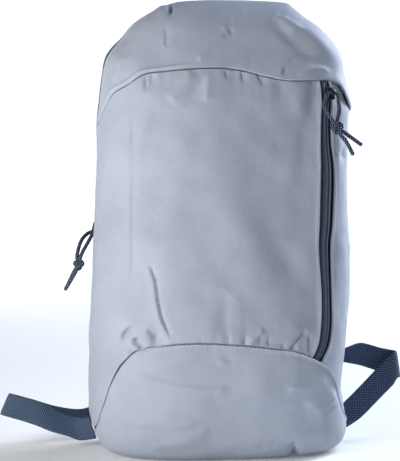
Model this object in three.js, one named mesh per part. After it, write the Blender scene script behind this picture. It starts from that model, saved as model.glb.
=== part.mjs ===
// A ten-litre daypack standing on its base: five cloth panels, two zips with corded pulls, a strap harness.
// Millimetres, +Z up, the front faces -Y, +X is the viewer's right, and the origin is under the base's middle.
// A turn is an angle in degrees about the bag's upright axis: 0 at the front, +90 at the right side.
import * as THREE from 'three';

// Driving sizes
const HEIGHT = 390;
const CLOTH = 1.5;
const SEAM_GAP = 1.2;
const ZIP_SEAM_TURN = 0.5;
const SIDE_SEAM_TURN = 0.4;
const FRONT_SQUARENESS = 2.8;
const BACK_SQUARENESS = 3.6;
const SPINE_LOW = 60;
const SPINE_HIGH = 290;
const RAY_REACH = 260;
const HOOD_LIFT = 1.0;
const BASE_LIFT = 0.8;

const MAIN_ZIP = { front: 11, back: 25, end: 188, crownSweep: 300, tapeLift: -1.2, coilLift: 0.4, tape: 1.0 };
const SETBACK = { depth: 28, drop: 70 };
const FRONT_ZIP = { tapeLift: -1.0, coilLift: 0.3, tape: 1.0 };
const SLIDER = { length: 11, width: 7, body: 3.4, eyeRadius: 2.2, eyeRim: 1.5, eyeSink: 0.8, seat: 0.7 };
const CORD = { diameter: 3.4, sides: 8, gap: 0.3 };
const WEBBING = { width: 20.5, thickness: 1.6 };
const PAD = { gap: 0.3 };
const BUCKLE = { width: 30, height: 24, thickness: 4, slotWidth: 22, slotHeight: 4.5, bar: 4 };

// The bag's level sections: how far it reaches from its axis at each height
const SECTIONS = [
  { z: 0, left: 88, right: 92, front: 50, back: 44 },
  { z: 4, left: 100, right: 101, front: 58, back: 51 },
  { z: 14, left: 108.5, right: 107.5, front: 65, back: 56 },
  { z: 30, left: 114, right: 108, front: 69, back: 59 },
  { z: 56, left: 114.5, right: 104, front: 73, back: 60.5 },
  { z: 80, left: 114, right: 106.5, front: 74, back: 60.5 },
  { z: 104, left: 114, right: 109, front: 74, back: 60.5 },
  { z: 140, left: 111.5, right: 111.5, front: 72, back: 60.5 },
  { z: 180, left: 110, right: 111.5, front: 70, back: 60.5 },
  { z: 220, left: 107.5, right: 109.5, front: 66, back: 60.5 },
  { z: 255, left: 106.5, right: 109.5, front: 62, back: 59 },
  { z: 288, left: 106, right: 110.5, front: 56.5, back: 57 },
  { z: 306, left: 104, right: 110.5, front: 53.5, back: 55 },
  { z: 323, left: 102, right: 106.5, front: 49.5, back: 52 },
  { z: 340, left: 98, right: 103, front: 44, back: 48 },
  { z: 349, left: 92, right: 99.5, front: 40.5, back: 45 },
  { z: 357, left: 85, right: 94, front: 37, back: 42 },
  { z: 366, left: 78.5, right: 85.5, front: 32.5, back: 37.5 },
  { z: 374, left: 70, right: 74, front: 27, back: 32 },
  { z: 382, left: 56, right: 64.5, front: 20, back: 25 },
  { z: 387.5, left: 42, right: 57.5, front: 13, back: 16.5 },
  { z: HEIGHT, left: 14, right: 23, front: 7, back: 8 },
];

// The arched seam under the hood: its height at each turn
const HOOD_SEAM = [
  { turn: -97, z: 285 }, { turn: -89, z: 289 }, { turn: -76, z: 306 }, { turn: -66, z: 321 },
  { turn: -59, z: 328 }, { turn: -50, z: 331 }, { turn: -30, z: 333 }, { turn: 3, z: 333 },
  { turn: 18, z: 331 }, { turn: 34, z: 327 }, { turn: 46, z: 323 }, { turn: 63, z: 323 },
  { turn: 70, z: 320 }, { turn: 75, z: 312 }, { turn: 80, z: 302 }, { turn: 97, z: 294 },
];

// The arched seam over the base panel: its height at each turn
const BASE_SEAM = [
  { turn: -180, z: 12 }, { turn: -120, z: 14 }, { turn: -97, z: 20 }, { turn: -75, z: 28 },
  { turn: -68, z: 48 }, { turn: -59, z: 80 }, { turn: -52, z: 95 }, { turn: -37, z: 102 },
  { turn: 6, z: 102 }, { turn: 28, z: 98 }, { turn: 37, z: 96 }, { turn: 47, z: 89 },
  { turn: 58, z: 77 }, { turn: 63, z: 65 }, { turn: 68, z: 48 }, { turn: 75, z: 33 },
  { turn: 97, z: 20 }, { turn: 120, z: 14 }, { turn: 180, z: 12 },
];

// The front pocket zip's two edges: their turns at each height
const FRONT_ZIP_EDGES = [
  { z: 84, left: 46, right: 52.5 }, { z: 98, left: 50.3, right: 56.7 }, { z: 115, left: 52, right: 58.3 },
  { z: 140, left: 52.7, right: 58.2 }, { z: 184, left: 52.2, right: 58.6 }, { z: 204, left: 53.8, right: 61 },
  { z: 245, left: 56.6, right: 64 }, { z: 272, left: 58.3, right: 63.5 }, { z: 323, left: 63.4, right: 67.5 },
];

// Folds pressed into the cloth: straight runs in the front view, with their depth and half width
const FOLDS = [
  { x0: -68, z0: 171, x1: -56, z1: 124, depth: 3.5, width: 6 },
  { x0: -56, z0: 124, x1: -50, z1: 109, depth: 3, width: 5 },
  { x0: -91, z0: 104, x1: -85, z1: 116, depth: 3, width: 5 },
  { x0: -79, z0: 98, x1: -80, z1: 112, depth: 2.5, width: 5 },
  { x0: -81, z0: 240, x1: -68, z1: 290, depth: 2.5, width: 7 },
  { x0: -92, z0: 80, x1: -55, z1: 72, depth: 2.5, width: 6 },
  { x0: -55, z0: 72, x1: 4, z1: 64, depth: 2.5, width: 7 },
  { x0: 4, z0: 64, x1: 60, z1: 67, depth: 2.5, width: 7 },
  { x0: 60, z0: 67, x1: 83, z1: 71, depth: 2.5, width: 6 },
  { x0: 91, z0: 63, x1: 74, z1: 51, depth: 3, width: 6 },
  { x0: 96, z0: 48, x1: 79, z1: 36, depth: 3.5, width: 6 },
  { x0: 57, z0: 6, x1: 57, z1: 16, depth: 4, width: 5 },
  { x0: -27, z0: 336, x1: 1, z1: 365, depth: 2.5, width: 6 },
  { x0: 1, z0: 365, x1: 14, z1: 378, depth: 2.5, width: 6 },
  { x0: -52, z0: 348, x1: -52, z1: 358, depth: 2, width: 5 },
  { x0: 35, z0: 377, x1: 64, z1: 361, depth: 2.5, width: 6 },
  { x0: -44, z0: 384, x1: -47, z1: 379, depth: 3, width: 5 },
];

// Gathers that run up or down from a seam: where each starts in the front view, and its rise
const GATHERS = [
  { x: -69, z: 326, rise: -22 }, { x: -27, z: 331, rise: -24 }, { x: -5, z: 331, rise: -20 },
  { x: 19, z: 328, rise: -20 }, { x: 32, z: 326, rise: -16 }, { x: -27, z: 104, rise: 20 },
  { x: -7, z: 104, rise: 18 }, { x: 27, z: 100, rise: 20 }, { x: 40, z: 98, rise: 20 },
  { x: 52, z: 96, rise: 18 },
];
const GATHER_DEPTH = 2;
const GATHER_WIDTH = 4.5;

// The webbing's ways: the middle of each station and the direction across, whose length scales the width
const RIGHT_WEBBING = [
  { at: [109, 13, 20], across: [0, 0, 1] },
  { at: [121, 16, 29], across: [-0.68, 0.1, 0.73] },
  { at: [137, 20, 43.5], across: [-0.68, 0.1, 0.73] },
  { at: [152, 24, 57.5], across: [-0.55, 0.08, 0.9] },
  { at: [161, 26.5, 66], across: [-0.17, 0, 1.14] },
  { at: [163.5, 29.5, 66.5], across: [-0.17, 0, 1.14] },
  { at: [160.5, 32.5, 67], across: [-0.1, 0, 1.12] },
  { at: [147, 36, 70], across: [0.2, 0, 1] },
  { at: [131, 42, 74], across: [0.15, 0.2, 0.95] },
  { at: [119, 54, 71], across: [0, 0.5, 0.55] },
  { at: [104, 70, 72], across: [0.15, 0.9, 0.3] },
  { at: [84, 78, 80], across: [0.3, 0.95, 0] },
  { at: [69, 79, 97], across: [0.85, 0.5, 0] },
  { at: [63, 76, 119.4], across: [1, 0, 0] },
];
const LEFT_WEBBING = [
  { at: [-111.4, 13, 17.5], across: [-0.34, 0, 0.94] },
  { at: [-122, 17, 15.5], across: [0.05, 0.1, 0.95] },
  { at: [-132, 21, 18], across: [0.2, 0.6, 0.75] },
  { at: [-144, 22, 22], across: [0.3, 0.55, 0.78] },
  { at: [-156, 22, 28], across: [0.35, 0.2, 0.92] },
  { at: [-169, 23, 32.5], across: [0.3, 0, 0.97] },
  { at: [-184, 26, 36.5], across: [0.38, 0, 0.93] },
  { at: [-187.5, 29.5, 37], across: [0.4, 0, 0.92] },
  { at: [-184, 33, 35.5], across: [0.38, 0, 0.93] },
  { at: [-166, 37, 29.5], across: [0.3, 0, 0.95] },
  { at: [-142, 44, 21], across: [0.2, 0.1, 0.95] },
  { at: [-118, 56, 17.5], across: [0, 0.5, 0.75] },
  { at: [-102, 70, 24], across: [-0.2, 0.9, 0.35] },
  { at: [-80, 79, 48], across: [-0.3, 0.95, 0] },
  { at: [-66, 79, 86], across: [-0.85, 0.5, 0] },
  { at: [-63, 76, 119.4], across: [-1, 0, 0] },
];

// The right shoulder strap's way from the back panel to its buckle; the left one is its mirror image
const PAD_WAY = [
  { at: [40, 49.4, 338], across: [1, 0.03, 0], width: 46, thickness: 8 },
  { at: [41, 64, 341], across: [1, 0, 0], width: 47, thickness: 9 },
  { at: [44, 82, 330], across: [1, 0, 0], width: 48, thickness: 9 },
  { at: [50, 95, 296], across: [1, 0, 0], width: 48, thickness: 9 },
  { at: [56, 98, 250], across: [1, 0, 0], width: 46, thickness: 9 },
  { at: [61, 91, 200], across: [1, 0, 0], width: 40, thickness: 8 },
  { at: [63, 81, 163], across: [1, 0, 0], width: 31, thickness: 6 },
  { at: [63, 76, 144.3], across: [1, 0, 0], width: 26, thickness: 4 },
];

// The pull cords' ways: from the slider to the knot, and from the knot to each cut end
const PULLS = {
  front: {
    turn: 65.2,
    z: 311,
    knot: [93.2, -48.2, 283],
    knotRadius: 5.6,
    strands: {
      a: [[81.8, -49.5, 302.5], [84.2, -49.6, 296.3], [88.6, -49.5, 290]],
      b: [[95.3, -43.5, 304.4], [96.3, -43.5, 297.7], [94.4, -46.4, 290.6]],
    },
    tails: {
      a: [[99.6, -46.6, 279.2], [104.2, -45.8, 275.8], [114.6, -45, 268.4]],
      b: [[96.4, -50, 276.8], [101, -49.8, 271.4], [106.9, -48.8, 260.6]],
    },
  },
  main: {
    turn: -115.6,
    z: 201,
    knot: [-122.8, 10.5, 162],
    knotRadius: 4.8,
    strands: {
      a: [
        [-99.5, 55.5, 192], [-106.5, 47, 188], [-113.5, 36, 186.5],
        [-119.3, 26, 182], [-122.4, 19, 175.5], [-124.2, 14, 168],
      ],
      b: [
        [-107.3, 37, 194.5], [-109.8, 28, 187], [-114.5, 19, 180],
        [-119.4, 13, 172.5], [-121.4, 10, 168.2],
      ],
    },
    tails: {
      a: [[-125.4, 13.6, 158], [-129, 14, 151], [-133, 13, 142.5]],
      b: [[-125, 8.2, 157.4], [-129, 8.6, 150], [-134.5, 9, 141]],
    },
  },
};

const FINISHES = {
  cloth: { color: 0xaab3c3, roughness: 0.75, metalness: 0 },
  zip: { color: 0x3f465a, roughness: 0.6, metalness: 0 },
  slider: { color: 0x2c313d, roughness: 0.4, metalness: 0.6 },
  cord: { color: 0x3c4a63, roughness: 0.85, metalness: 0 },
  webbing: { color: 0x2a3750, roughness: 0.8, metalness: 0 },
  pad: { color: 0x8f99aa, roughness: 0.85, metalness: 0 },
  buckle: { color: 0x20252e, roughness: 0.5, metalness: 0 },
};

// Smooth curve through one column of a table
function curveThrough(rows, key, column) {
  const interpolant = new THREE.CubicInterpolant(
    Float64Array.from(rows, (row) => row[key]),
    Float64Array.from(rows, (row) => row[column]),
    1,
  );
  return (at) => interpolant.evaluate(at)[0];
}

const leftReach = curveThrough(SECTIONS, 'z', 'left');
const rightReach = curveThrough(SECTIONS, 'z', 'right');
const frontReach = curveThrough(SECTIONS, 'z', 'front');
const backReach = curveThrough(SECTIONS, 'z', 'back');
const hoodSeam = curveThrough(HOOD_SEAM, 'turn', 'z');
const baseSeam = curveThrough(BASE_SEAM, 'turn', 'z');
const zipLeftEdge = curveThrough(FRONT_ZIP_EDGES, 'z', 'left');
const zipRightEdge = curveThrough(FRONT_ZIP_EDGES, 'z', 'right');

const { lerp, degToRad, radToDeg } = THREE.MathUtils;

// 1 on the bag's surface, less inside it
function levelAt(point) {
  const side = point.x < 0 ? leftReach(point.z) : rightReach(point.z);
  const depth = point.y < 0 ? frontReach(point.z) : backReach(point.z);
  const power = point.y < 0 ? FRONT_SQUARENESS : BACK_SQUARENESS;
  return (Math.abs(point.x) / side) ** power + (Math.abs(point.y) / depth) ** power;
}

function isInside(point) {
  return point.z >= 0 && point.z <= HEIGHT && levelAt(point) < 1;
}

// The last point inside the bag on the way from a start in a direction
function castOut(start, direction) {
  let near = 0;
  let far = RAY_REACH;
  for (let step = 0; step < 40; step += 1) {
    const middle = (near + far) / 2;
    if (isInside(start.clone().addScaledVector(direction, middle))) {
      near = middle;
    } else {
      far = middle;
    }
  }
  return start.clone().addScaledVector(direction, near);
}

// A point inside the bag, pushed out to its surface from the spine
function pushedOut(point) {
  const spine = new THREE.Vector3(0, 0, THREE.MathUtils.clamp(point.z, SPINE_LOW, SPINE_HIGH));
  return castOut(spine, point.clone().sub(spine).normalize());
}

function onBag(turn, z) {
  const angle = degToRad(turn);
  return castOut(new THREE.Vector3(0, 0, z), new THREE.Vector3(Math.sin(angle), -Math.cos(angle), 0));
}

// How far the main zip and the side seams stand back at a height below the crown
function setback(z) {
  return SETBACK.depth * THREE.MathUtils.smoothstep(SPINE_HIGH - z, 0, SETBACK.drop);
}

// The surface at a zip depth, a share of the way from left end to right end over the crown
function onArch(depth, share) {
  const rise = SPINE_HIGH - MAIN_ZIP.end;
  const way = share * (2 * rise + MAIN_ZIP.crownSweep);
  const over = THREE.MathUtils.clamp((way - rise) / MAIN_ZIP.crownSweep, 0, 1);
  const drop = Math.max(rise - way, way - rise - MAIN_ZIP.crownSweep, 0);
  const angle = Math.PI * (1 - over);
  return castOut(
    new THREE.Vector3(0, depth + setback(SPINE_HIGH - drop), SPINE_HIGH - drop),
    new THREE.Vector3(Math.cos(angle), 0, Math.sin(angle)),
  );
}

// The share along the arch at which its left side is at a height
function archShareAt(z) {
  return (z - MAIN_ZIP.end) / (2 * (SPINE_HIGH - MAIN_ZIP.end) + MAIN_ZIP.crownSweep);
}

// The turn of a side's seam at a height
function sideTurn(z, side) {
  const y = MAIN_ZIP.front + setback(z);
  const reach = side < 0 ? leftReach(z) : rightReach(z);
  const x = reach * (1 - (y / backReach(z)) ** BACK_SQUARENESS) ** (1 / BACK_SQUARENESS);
  return side * (90 + radToDeg(Math.atan2(y, x)));
}

function runDepth(point, run, depth, width) {
  const along = new THREE.Line3(new THREE.Vector3(run.x0, 0, run.z0), new THREE.Vector3(run.x1, 0, run.z1));
  const seen = new THREE.Vector3(point.x, 0, point.z);
  const distance = along.closestPointToPoint(seen, true, new THREE.Vector3()).distanceTo(seen);
  return depth * Math.exp(-((distance / width) ** 2));
}

// How deep the folds and gathers press into the front at a point
function foldDepth(point) {
  if (point.y > 0) {
    return 0;
  }
  const folds = FOLDS.reduce((sum, run) => sum + runDepth(point, run, run.depth, run.width), 0);
  const gathers = GATHERS.reduce((sum, { x, z, rise }) => {
    const run = { x0: x, z0: z, x1: x, z1: z + rise };
    return sum + runDepth(point, run, GATHER_DEPTH, GATHER_WIDTH);
  }, 0);
  return (folds + gathers) * THREE.MathUtils.smoothstep(point.z, 1, 8);
}

function geometryOf(points, triangles) {
  const geometry = new THREE.BufferGeometry();
  geometry.setFromPoints(points);
  geometry.setIndex(triangles.flat());
  geometry.computeVertexNormals();
  return geometry;
}

function normalsOf(points, triangles) {
  const normal = geometryOf(points, triangles).getAttribute('normal');
  return points.map((_, i) => new THREE.Vector3().fromBufferAttribute(normal, i));
}

function rimEdges(triangles) {
  const edges = new Map();
  for (const [a, b, c] of triangles) {
    for (const [from, to] of [[a, b], [b, c], [c, a]]) {
      if (!edges.delete(`${to},${from}`)) {
        edges.set(`${from},${to}`, [from, to]);
      }
    }
  }
  return [...edges.values()];
}

// A closed wall: a sheet of points on the bag, lifted, folded and given a thickness inward
function closedWall({ points, triangles }, lifts, thickness) {
  const lifted = normalsOf(points, triangles).map((normal, i) => (
    points[i].clone().addScaledVector(normal, lifts[i] - foldDepth(points[i]))
  ));
  const inner = normalsOf(lifted, triangles).map((normal, i) => (
    lifted[i].clone().addScaledVector(normal, -thickness)
  ));
  const count = points.length;
  const faces = [...triangles];
  for (const [a, b, c] of triangles) {
    faces.push([a + count, c + count, b + count]);
  }
  for (const [from, to] of rimEdges(triangles)) {
    faces.push([to, from, from + count], [to, from + count, to + count]);
  }
  return geometryOf([...lifted, ...inner], faces);
}

// A sheet of columns by rows; place gives the point at each share across and up
function gridSheet(columns, rows, place) {
  const points = [];
  const triangles = [];
  for (let row = 0; row <= rows; row += 1) {
    for (let column = 0; column <= columns; column += 1) {
      points.push(place(column / columns, row / rows));
    }
  }
  for (let row = 0; row < rows; row += 1) {
    for (let column = 0; column < columns; column += 1) {
      const corner = row * (columns + 1) + column;
      const above = corner + columns + 1;
      triangles.push([corner, corner + 1, above + 1], [corner, above + 1, above]);
    }
  }
  return { points, triangles };
}

// A round sheet: rings between a middle point and a closed rim, each pushed out to the bag
function discSheet(middle, rim, shares) {
  const points = [pushedOut(middle)];
  const triangles = [];
  const count = rim.length;
  for (const share of shares) {
    for (const edge of rim) {
      points.push(share === 1 ? edge : pushedOut(middle.clone().lerp(edge, share)));
    }
  }
  for (let i = 0; i < count; i += 1) {
    const next = (i + 1) % count;
    triangles.push([0, 1 + i, 1 + next]);
    for (let ring = 0; ring + 1 < shares.length; ring += 1) {
      const low = 1 + ring * count;
      const high = low + count;
      triangles.push([low + i, high + i, high + next], [low + i, high + next, low + next]);
    }
  }
  return { points, triangles };
}

function steps(count, from, to, place) {
  return Array.from({ length: count + 1 }, (_, i) => place(lerp(from, to, i / count)));
}

// Half the gap at a seam, measured upright: wider where the seam is steep
function halfGap(seam, turn) {
  const run = onBag(turn + 1, seam(turn + 1)).sub(onBag(turn - 1, seam(turn - 1)));
  return (SEAM_GAP / 2) * (run.length() / Math.hypot(run.x, run.y));
}

// Place on a panel between two upright edges and the base and hood seams
function betweenSeams(leftEdge, rightEdge, across, up) {
  let turn = 0;
  let z = lerp(SPINE_LOW, SPINE_HIGH, up);
  for (let step = 0; step < 6; step += 1) {
    turn = lerp(leftEdge(z), rightEdge(z), across);
    z = lerp(baseSeam(turn) + halfGap(baseSeam, turn), hoodSeam(turn) - halfGap(hoodSeam, turn), up);
  }
  return onBag(turn, z);
}

const leftSeamTurn = (z) => sideTurn(z, -1) + SIDE_SEAM_TURN;
const rightSeamTurn = (z) => sideTurn(z, 1) - SIDE_SEAM_TURN;

function frontPanel() {
  const sheet = gridSheet(36, 16, (across, up) => (
    betweenSeams(leftSeamTurn, (z) => zipLeftEdge(z) - ZIP_SEAM_TURN, across, up)
  ));
  return closedWall(sheet, sheet.points.map(() => 0), CLOTH);
}

function rightPanel() {
  const sheet = gridSheet(10, 16, (across, up) => (
    betweenSeams((z) => zipRightEdge(z) + ZIP_SEAM_TURN, rightSeamTurn, across, up)
  ));
  return closedWall(sheet, sheet.points.map(() => 0), CLOTH);
}

function frontZip() {
  const columns = 4;
  const sheet = gridSheet(columns, 18, (across, up) => betweenSeams(zipLeftEdge, zipRightEdge, across, up));
  const lifts = sheet.points.map((_, i) => (
    i % (columns + 1) === columns / 2 ? FRONT_ZIP.coilLift : FRONT_ZIP.tapeLift
  ));
  return closedWall(sheet, lifts, FRONT_ZIP.tape);
}

function mainZip() {
  const columns = 4;
  const sheet = gridSheet(columns, 40, (across, up) => (
    onArch(lerp(MAIN_ZIP.back - SEAM_GAP, MAIN_ZIP.front + SEAM_GAP, across), up)
  ));
  const lifts = sheet.points.map((_, i) => (
    i % (columns + 1) === columns / 2 ? MAIN_ZIP.coilLift : MAIN_ZIP.tapeLift
  ));
  return closedWall(sheet, lifts, MAIN_ZIP.tape);
}

function hood() {
  const first = archShareAt(hoodSeam(-97) + SEAM_GAP);
  const last = 1 - archShareAt(hoodSeam(97) + SEAM_GAP);
  const seamEdge = steps(32, -1, 1, (side) => {
    const end = sideTurn(SPINE_HIGH, 1);
    return onBag(side * end, hoodSeam(side * end) + halfGap(hoodSeam, side * end));
  });
  const zipEdge = steps(24, last, first, (share) => onArch(MAIN_ZIP.front, share)).slice(1, -1);
  const sheet = discSheet(new THREE.Vector3(0, -20, 372), [...seamEdge, ...zipEdge], [0.25, 0.5, 0.7, 0.86, 1]);
  const front = MAIN_ZIP.front;
  const lifts = sheet.points.map(({ y }) => HOOD_LIFT * THREE.MathUtils.smoothstep(front - y, 0, front));
  return closedWall(sheet, lifts, CLOTH);
}

function basePanel() {
  const turns = 64;
  const rim = steps(turns - 1, 180, 360 / turns - 180, (turn) => (
    onBag(turn, baseSeam(turn) - halfGap(baseSeam, turn))
  ));
  const shares = [0.12, 0.2, 0.27, 0.34, 0.42, 0.52, 0.64, 0.76, 0.88, 1];
  const sheet = discSheet(new THREE.Vector3(0, 0, 1), rim, shares);
  const lifts = sheet.points.map(({ y, z }) => BASE_LIFT * (y < 0 ? THREE.MathUtils.smoothstep(z, 20, 60) : 0));
  return closedWall(sheet, lifts, CLOTH);
}

function backPanel() {
  const sideEdge = (side) => steps(8, 20 + SEAM_GAP, MAIN_ZIP.end - 2 * SEAM_GAP, (z) => (
    onBag(sideTurn(z, side) + side * SIDE_SEAM_TURN, z)
  ));
  const crown = steps(30, 0, 1, (share) => onArch(MAIN_ZIP.back, share));
  const corner = sideTurn(20, 1);
  const foot = steps(14, corner, 360 - corner, (turn) => {
    const wrapped = turn > 180 ? turn - 360 : turn;
    return onBag(wrapped, baseSeam(wrapped) + SEAM_GAP / 2);
  });
  const rim = [...sideEdge(-1), ...crown, ...sideEdge(1).reverse(), ...foot.slice(1, -1)];
  const sheet = discSheet(new THREE.Vector3(0, backReach(190) - 1, 190), rim, [0.3, 0.55, 0.75, 0.9, 1]);
  return closedWall(sheet, sheet.points.map(() => 0), CLOTH);
}

// A closed strip along a way; each station has a middle, a direction across, a width and a thickness
function strip(way, stationsPerRow, section, width, thickness) {
  const middles = new THREE.CatmullRomCurve3(way.map(({ at }) => new THREE.Vector3(...at)));
  const acrosses = new THREE.CatmullRomCurve3(way.map(({ across }) => new THREE.Vector3(...across)));
  const stations = (way.length - 1) * stationsPerRow;
  const points = [];
  const faces = [];
  for (let station = 0; station <= stations; station += 1) {
    const share = station / stations;
    const middle = middles.getPoint(share);
    const across = acrosses.getPoint(share);
    const outward = middles.getTangent(share).cross(across).normalize();
    for (const [side, face] of section) {
      points.push(middle.clone()
        .addScaledVector(across, (side * width(share)) / 2)
        .addScaledVector(outward, (face * thickness(share)) / 2));
    }
  }
  const count = section.length;
  for (let i = 0; i < count; i += 1) {
    const next = (i + 1) % count;
    for (let station = 0; station < stations; station += 1) {
      const here = station * count;
      const there = here + count;
      faces.push([here + i, here + next, there + next], [here + i, there + next, there + i]);
    }
  }
  const last = stations * count;
  for (let i = 1; i + 1 < count; i += 1) {
    faces.push([0, i + 1, i], [last, last + i, last + i + 1]);
  }
  return geometryOf(points, faces);
}

const FLAT_SECTION = [[-1, -1], [1, -1], [1, 1], [-1, 1]];
const PAD_SECTION = [
  [-1, -0.4], [-0.86, -1], [0.86, -1], [1, -0.4], [1, 0.4], [0.86, 1], [-0.86, 1], [-1, 0.4],
];

function webbing(way) {
  return strip(way, 3, FLAT_SECTION, () => WEBBING.width, () => WEBBING.thickness);
}

function pad(side) {
  const way = PAD_WAY.map(({ at: [x, y, z], across: [ax, ay, az], ...sizes }) => (
    { at: [side * x, y, z], across: [ax, side * ay, az], ...sizes }
  ));
  const shared = way.map((row, i) => ({ ...row, share: i / (way.length - 1) }));
  return strip(way, 3, PAD_SECTION, curveThrough(shared, 'share', 'width'), curveThrough(shared, 'share', 'thickness'));
}

function rectangle(path, width, height, middleZ) {
  path.moveTo(-width / 2, middleZ - height / 2);
  path.lineTo(width / 2, middleZ - height / 2);
  path.lineTo(width / 2, middleZ + height / 2);
  path.lineTo(-width / 2, middleZ + height / 2);
  path.closePath();
  return path;
}

function buckle() {
  const frame = rectangle(new THREE.Shape(), BUCKLE.width, BUCKLE.height, 0);
  const slotMiddle = (BUCKLE.slotHeight + BUCKLE.bar) / 2;
  for (const side of [-1, 1]) {
    frame.holes.push(rectangle(new THREE.Path(), BUCKLE.slotWidth, BUCKLE.slotHeight, side * slotMiddle));
  }
  const geometry = new THREE.ExtrudeGeometry(frame, { depth: BUCKLE.thickness, bevelEnabled: false });
  return geometry.translate(0, 0, -BUCKLE.thickness / 2).rotateX(Math.PI / 2);
}

// A slider in its own frame: X across the zip, Y along it, Z away from the bag, with an eye for the cord
function slider() {
  const half = SLIDER.length / 2;
  const eyeHeight = SLIDER.body + SLIDER.eyeRadius * SLIDER.eyeSink;
  const profile = new THREE.Shape();
  profile.moveTo(-half, 0);
  profile.lineTo(half, 0);
  profile.lineTo(half, SLIDER.body);
  profile.lineTo(SLIDER.eyeRadius + SLIDER.eyeRim, SLIDER.body);
  profile.absarc(0, eyeHeight, SLIDER.eyeRadius + SLIDER.eyeRim, 0, Math.PI, false);
  profile.lineTo(-SLIDER.eyeRadius - SLIDER.eyeRim, SLIDER.body);
  profile.lineTo(-half, SLIDER.body);
  profile.closePath();
  const eye = new THREE.Path();
  eye.absarc(0, eyeHeight, SLIDER.eyeRadius, 0, 2 * Math.PI, true);
  profile.holes.push(eye);
  const options = { depth: SLIDER.width, bevelEnabled: false, curveSegments: 8 };
  const geometry = new THREE.ExtrudeGeometry(profile, options).translate(0, 0, -SLIDER.width / 2);
  return geometry.applyMatrix4(new THREE.Matrix4().makeBasis(
    new THREE.Vector3(0, 1, 0),
    new THREE.Vector3(0, 0, 1),
    new THREE.Vector3(1, 0, 0),
  ));
}

// The frame of a slider that sits on the bag at a turn and height
function sliderFrame({ turn, z }, lift) {
  const seat = onBag(turn, z);
  const across = onBag(turn + 2, z).sub(onBag(turn - 2, z)).normalize();
  const along = onBag(turn, z + 6).sub(onBag(turn, z - 6)).normalize();
  const out = across.clone().cross(along).normalize();
  const upward = out.clone().cross(across);
  const frame = new THREE.Matrix4().makeBasis(across, upward, out);
  return frame.setPosition(seat.addScaledVector(out, lift));
}

function tube(way) {
  const round = new THREE.Shape();
  round.absarc(0, 0, CORD.diameter / 2, 0, 2 * Math.PI, false);
  const path = new THREE.CatmullRomCurve3(way);
  const options = {
    extrudePath: path,
    steps: Math.max(3, Math.round(path.getLength() / (2.5 * CORD.diameter))),
    curveSegments: CORD.sides / 2,
    bevelEnabled: false,
  };
  return new THREE.ExtrudeGeometry(round, options);
}

const bag = new THREE.Group();

function addPiece(name, geometry, finish) {
  const piece = new THREE.Mesh(geometry, new THREE.MeshStandardMaterial(FINISHES[finish]));
  piece.name = name;
  bag.add(piece);
  return piece;
}

function addPull(name, pull, zipLift) {
  const frame = sliderFrame(pull, zipLift + SLIDER.seat);
  addPiece(`${name}_zip_slider`, slider(), 'slider').applyMatrix4(frame);
  const knot = new THREE.Vector3(...pull.knot);
  const knotBall = addPiece(`${name}_pull_knot`, new THREE.SphereGeometry(pull.knotRadius, 12, 8), 'cord');
  knotBall.position.copy(knot);
  const eyeSide = SLIDER.width / 2 + CORD.gap;
  const eyeHeight = SLIDER.body + SLIDER.eyeRadius * SLIDER.eyeSink;
  const toKnot = (point) => {
    const away = point.clone().sub(knot).normalize();
    return knot.clone().addScaledVector(away, pull.knotRadius + CORD.gap);
  };
  for (const [label, side] of [['a', -1], ['b', 1]]) {
    const fromEye = (reach) => new THREE.Vector3(side * (eyeSide + reach), 0, eyeHeight).applyMatrix4(frame);
    const strand = pull.strands[label].map((at) => new THREE.Vector3(...at));
    const way = [fromEye(0), fromEye(CORD.diameter), ...strand, toKnot(strand.at(-1))];
    addPiece(`${name}_pull_strand_${label}`, tube(way), 'cord');
    const tail = pull.tails[label].map((at) => new THREE.Vector3(...at));
    addPiece(`${name}_pull_tail_${label}`, tube([toKnot(tail[0]), ...tail]), 'cord');
  }
}

addPiece('front_panel', frontPanel(), 'cloth');
addPiece('right_panel', rightPanel(), 'cloth');
addPiece('hood', hood(), 'cloth');
addPiece('base_panel', basePanel(), 'cloth');
addPiece('back_panel', backPanel(), 'cloth');
addPiece('front_zip', frontZip(), 'zip');
addPiece('main_zip', mainZip(), 'zip');
addPull('front', PULLS.front, FRONT_ZIP.coilLift);
addPull('main', PULLS.main, MAIN_ZIP.coilLift);
for (const [label, side, way] of [['left', -1, LEFT_WEBBING], ['right', 1, RIGHT_WEBBING]]) {
  addPiece(`strap_pad_${label}`, pad(side), 'pad');
  addPiece(`strap_web_${label}`, webbing(way), 'webbing');
  const end = way.at(-1).at;
  addPiece(`strap_buckle_${label}`, buckle(), 'buckle')
    .position.set(end[0], end[1], end[2] + PAD.gap + BUCKLE.height / 2);
}

export default bag;
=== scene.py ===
"""A small standing daypack: cloth panels, zips, pull cords and straps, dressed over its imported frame."""
import logging
import math
from dataclasses import dataclass, field
from enum import Enum
from itertools import starmap
from typing import Any, Callable, NamedTuple, Sequence

import bpy
import numpy as np
from mathutils import Matrix, Vector


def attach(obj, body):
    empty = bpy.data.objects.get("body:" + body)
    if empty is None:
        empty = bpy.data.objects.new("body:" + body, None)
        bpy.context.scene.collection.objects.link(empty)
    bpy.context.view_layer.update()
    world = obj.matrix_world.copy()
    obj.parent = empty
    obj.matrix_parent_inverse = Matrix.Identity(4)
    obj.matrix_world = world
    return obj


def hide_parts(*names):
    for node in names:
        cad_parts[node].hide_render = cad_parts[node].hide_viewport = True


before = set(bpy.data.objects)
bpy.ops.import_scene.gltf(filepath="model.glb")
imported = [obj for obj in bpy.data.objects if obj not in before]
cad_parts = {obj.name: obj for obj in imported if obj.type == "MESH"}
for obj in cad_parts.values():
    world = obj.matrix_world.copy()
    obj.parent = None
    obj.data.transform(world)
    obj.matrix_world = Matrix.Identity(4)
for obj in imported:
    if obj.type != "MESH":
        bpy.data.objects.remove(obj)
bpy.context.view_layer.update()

LOG = logging.getLogger("daypack")
MM = 0.001
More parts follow.
